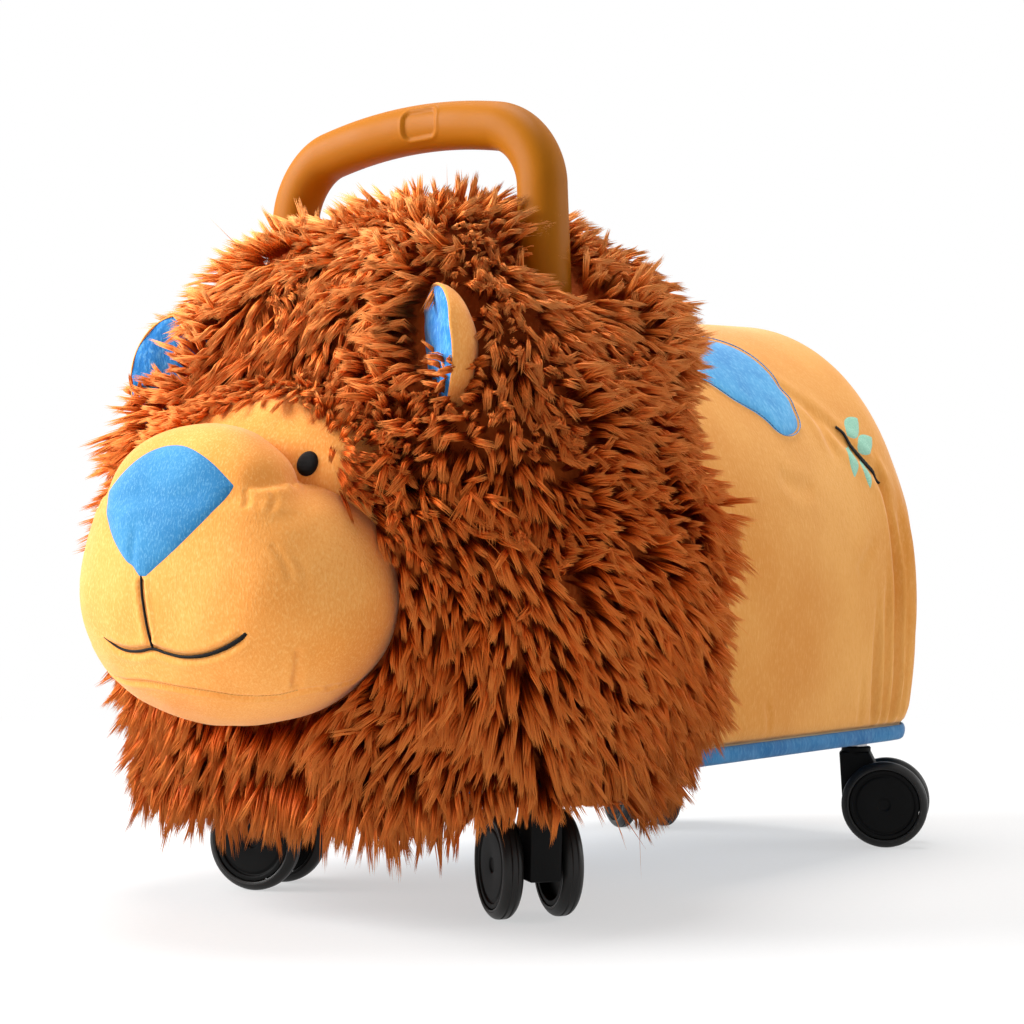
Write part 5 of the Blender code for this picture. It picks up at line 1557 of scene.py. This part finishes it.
def makeFur():
    rng = np.random.default_rng(17)
    blocks = []
    for roots, normals in (maneLocks(rng), faceLocks()):
        blocks.append((roots, normals, furLay(roots, normals, rng)))
    for part, out, fall, loose in ((earLocks, 0.8, 0.3, 0.35), (fringeLocks, 0.3, -1.0, 0.16)):
        roots, normals = part() if part is earLocks else part(rng)
        lay = unit(out * normals + fall * upright + loose * rng.normal(size=roots.shape))
        blocks.append((roots, normals, lay))
    kind = np.repeat(np.arange(4), [len(block[0]) for block in blocks])
    roots, normals, starts = (np.vstack(part) for part in zip(*blocks))
    locks, strands = len(roots), fur["strands"]
    share = 0.5 + 0.5 * waves(roots, 60.0, 91) + 0.35 * waves(roots, 19.0, 92) + 0.2 * rng.normal(size=locks)
    shortest = np.array([fur["low"], brow["low"], fur["earLow"], fur["fringeLow"]])[kind]
    longest = np.array([fur["high"], brow["high"], fur["earHigh"], fur["fringeHigh"]])[kind]
    lengths = shortest + (longest - shortest) * np.clip(share, 0, 1.2)
    tint = np.clip(0.5 + 0.4 * waves(roots, 30.0, 95) + 0.25 * rng.normal(size=locks), 0, 1)

    # each lock is a flat feather, its flat side outwards, slightly cupped across
    facing = normals + 0.6 * rng.normal(size=normals.shape)
    facing = unit(facing - starts * np.einsum("ij,ij->i", facing, starts)[:, None])

    def perStrand(values):
        return np.repeat(values, strands, axis=0)

    count = locks * strands
    u = np.tile(np.linspace(-1, 1, strands), locks) + rng.normal(size=count) * fur["spread"]
    v = rng.uniform(-1, 1, count) - fur["cup"] * (u ** 2 - 0.4)
    offset = perStrand(np.cross(starts, facing)) * (fur["wide"] * u)[:, None]
    offset = offset + perStrand(facing) * (fur["thin"] * v)[:, None]
    size = perStrand(lengths) * rng.uniform(0.93, 1.03, count) * (1 - fur["shorter"] * u ** 2)
    droop = -fur["droop"] * upright + fur["sway"] * perStrand(rng.normal(size=(locks, 3)))
    bend = droop - offset * fur["close"] / size[:, None] + fur["fray"] * rng.normal(size=(count, 3))
    heading = unit(perStrand(starts) + fur["fray"] * rng.normal(size=(count, 3)))
    tints = np.clip(0.72 * perStrand(tint) + 0.28 * rng.uniform(size=count), 0, 1)
    thick = fur["thick"] * rng.uniform(0.75, 1.25, count)

    # stray hairs: long, thin, pale and more bent
    pick = rng.integers(0, locks, fur["strays"])
    begin = np.vstack([perStrand(roots) + offset * 0.8, roots[pick]])
    heading = np.vstack([heading, unit(starts[pick] + 0.3 * rng.normal(size=(len(pick), 3)))])
    bend = np.vstack([bend, 0.35 * rng.normal(size=(len(pick), 3)) - 0.35 * upright])
    size = np.concatenate([size, lengths[pick] * rng.uniform(0.9, 1.12, len(pick))])
    thick = np.concatenate([thick, np.full(len(pick), fur["stray"])])
    tints = np.concatenate([tints, np.ones(len(pick))])

    # one piece for each sector round the mane
    turn = np.arctan2(begin[:, 1] - mane["centreY"], begin[:, 0]) % (2 * np.pi)
    sector = np.argsort(np.argsort(turn)) * fur["pieces"] // len(turn)
    for k in range(fur["pieces"]):
        form = strandForm(*(part[sector == k] for part in (begin, heading, bend, size, thick, tints)), rng)
        putPiece(f"mane_fur_{k + 1}", form, "fur")
    print("mane locks:", locks, "strands:", len(begin))


def makeManeSkin():
    # the backing under the pile, closed at the hem and at the crown, and raised over the front casters
    ways = np.concatenate([np.zeros(1), np.linspace(0.0, 0.995, 110)])[:, None]
    rows, normals = manePoint(fullTurn(240)[None, :], ways, fur["skinDepth"])
    rows = rows - normals * furDraw(rows)[..., None]
    rows[0, :, :2] = rows[0, :, :2] * 0.9 + np.array([0.0, mane["centreY"]]) * 0.1
    heights = (mane["hem"] + 6.0, mane["top"] - fur["skinDepth"])
    bottom, crown = (poleRow([0.0, mane["centreY"], z], 240) for z in heights)
    rows = np.concatenate([bottom, rows, crown])
    sweep = (np.abs(rows[..., 0]) < fur["sweepX"]) & (rows[..., 1] > fur["sweepY"])
    rows[..., 2] = np.where(sweep, np.maximum(rows[..., 2], fur["sweepZ"]), rows[..., 2])
    rows[..., 2] = np.maximum(rows[..., 2], hemLine(rows) - 3.0)
    putPiece("mane_backing", roundForm(rows), "skin", "mane")


makeFur()
makeManeSkin()
print("mane made")


# Plain pieces that keep the frame's own shape and get a finish here

keptPieces = {"base_board": "wood", "body_foam": "foam"}
keptPieces.update({f"handle_{part}_{k}": "steel" for part in ("bolt", "nut") for k in (1, 2, 3, 4)})
keptPieces.update({f"{part}_{side}": "steel" for part in ("insert", "stem", "axle") for side in corners})
for name, key in keptPieces.items():
    cadNodes[name].data.materials.clear()
    cadNodes[name].data.materials.append(finishes[key])
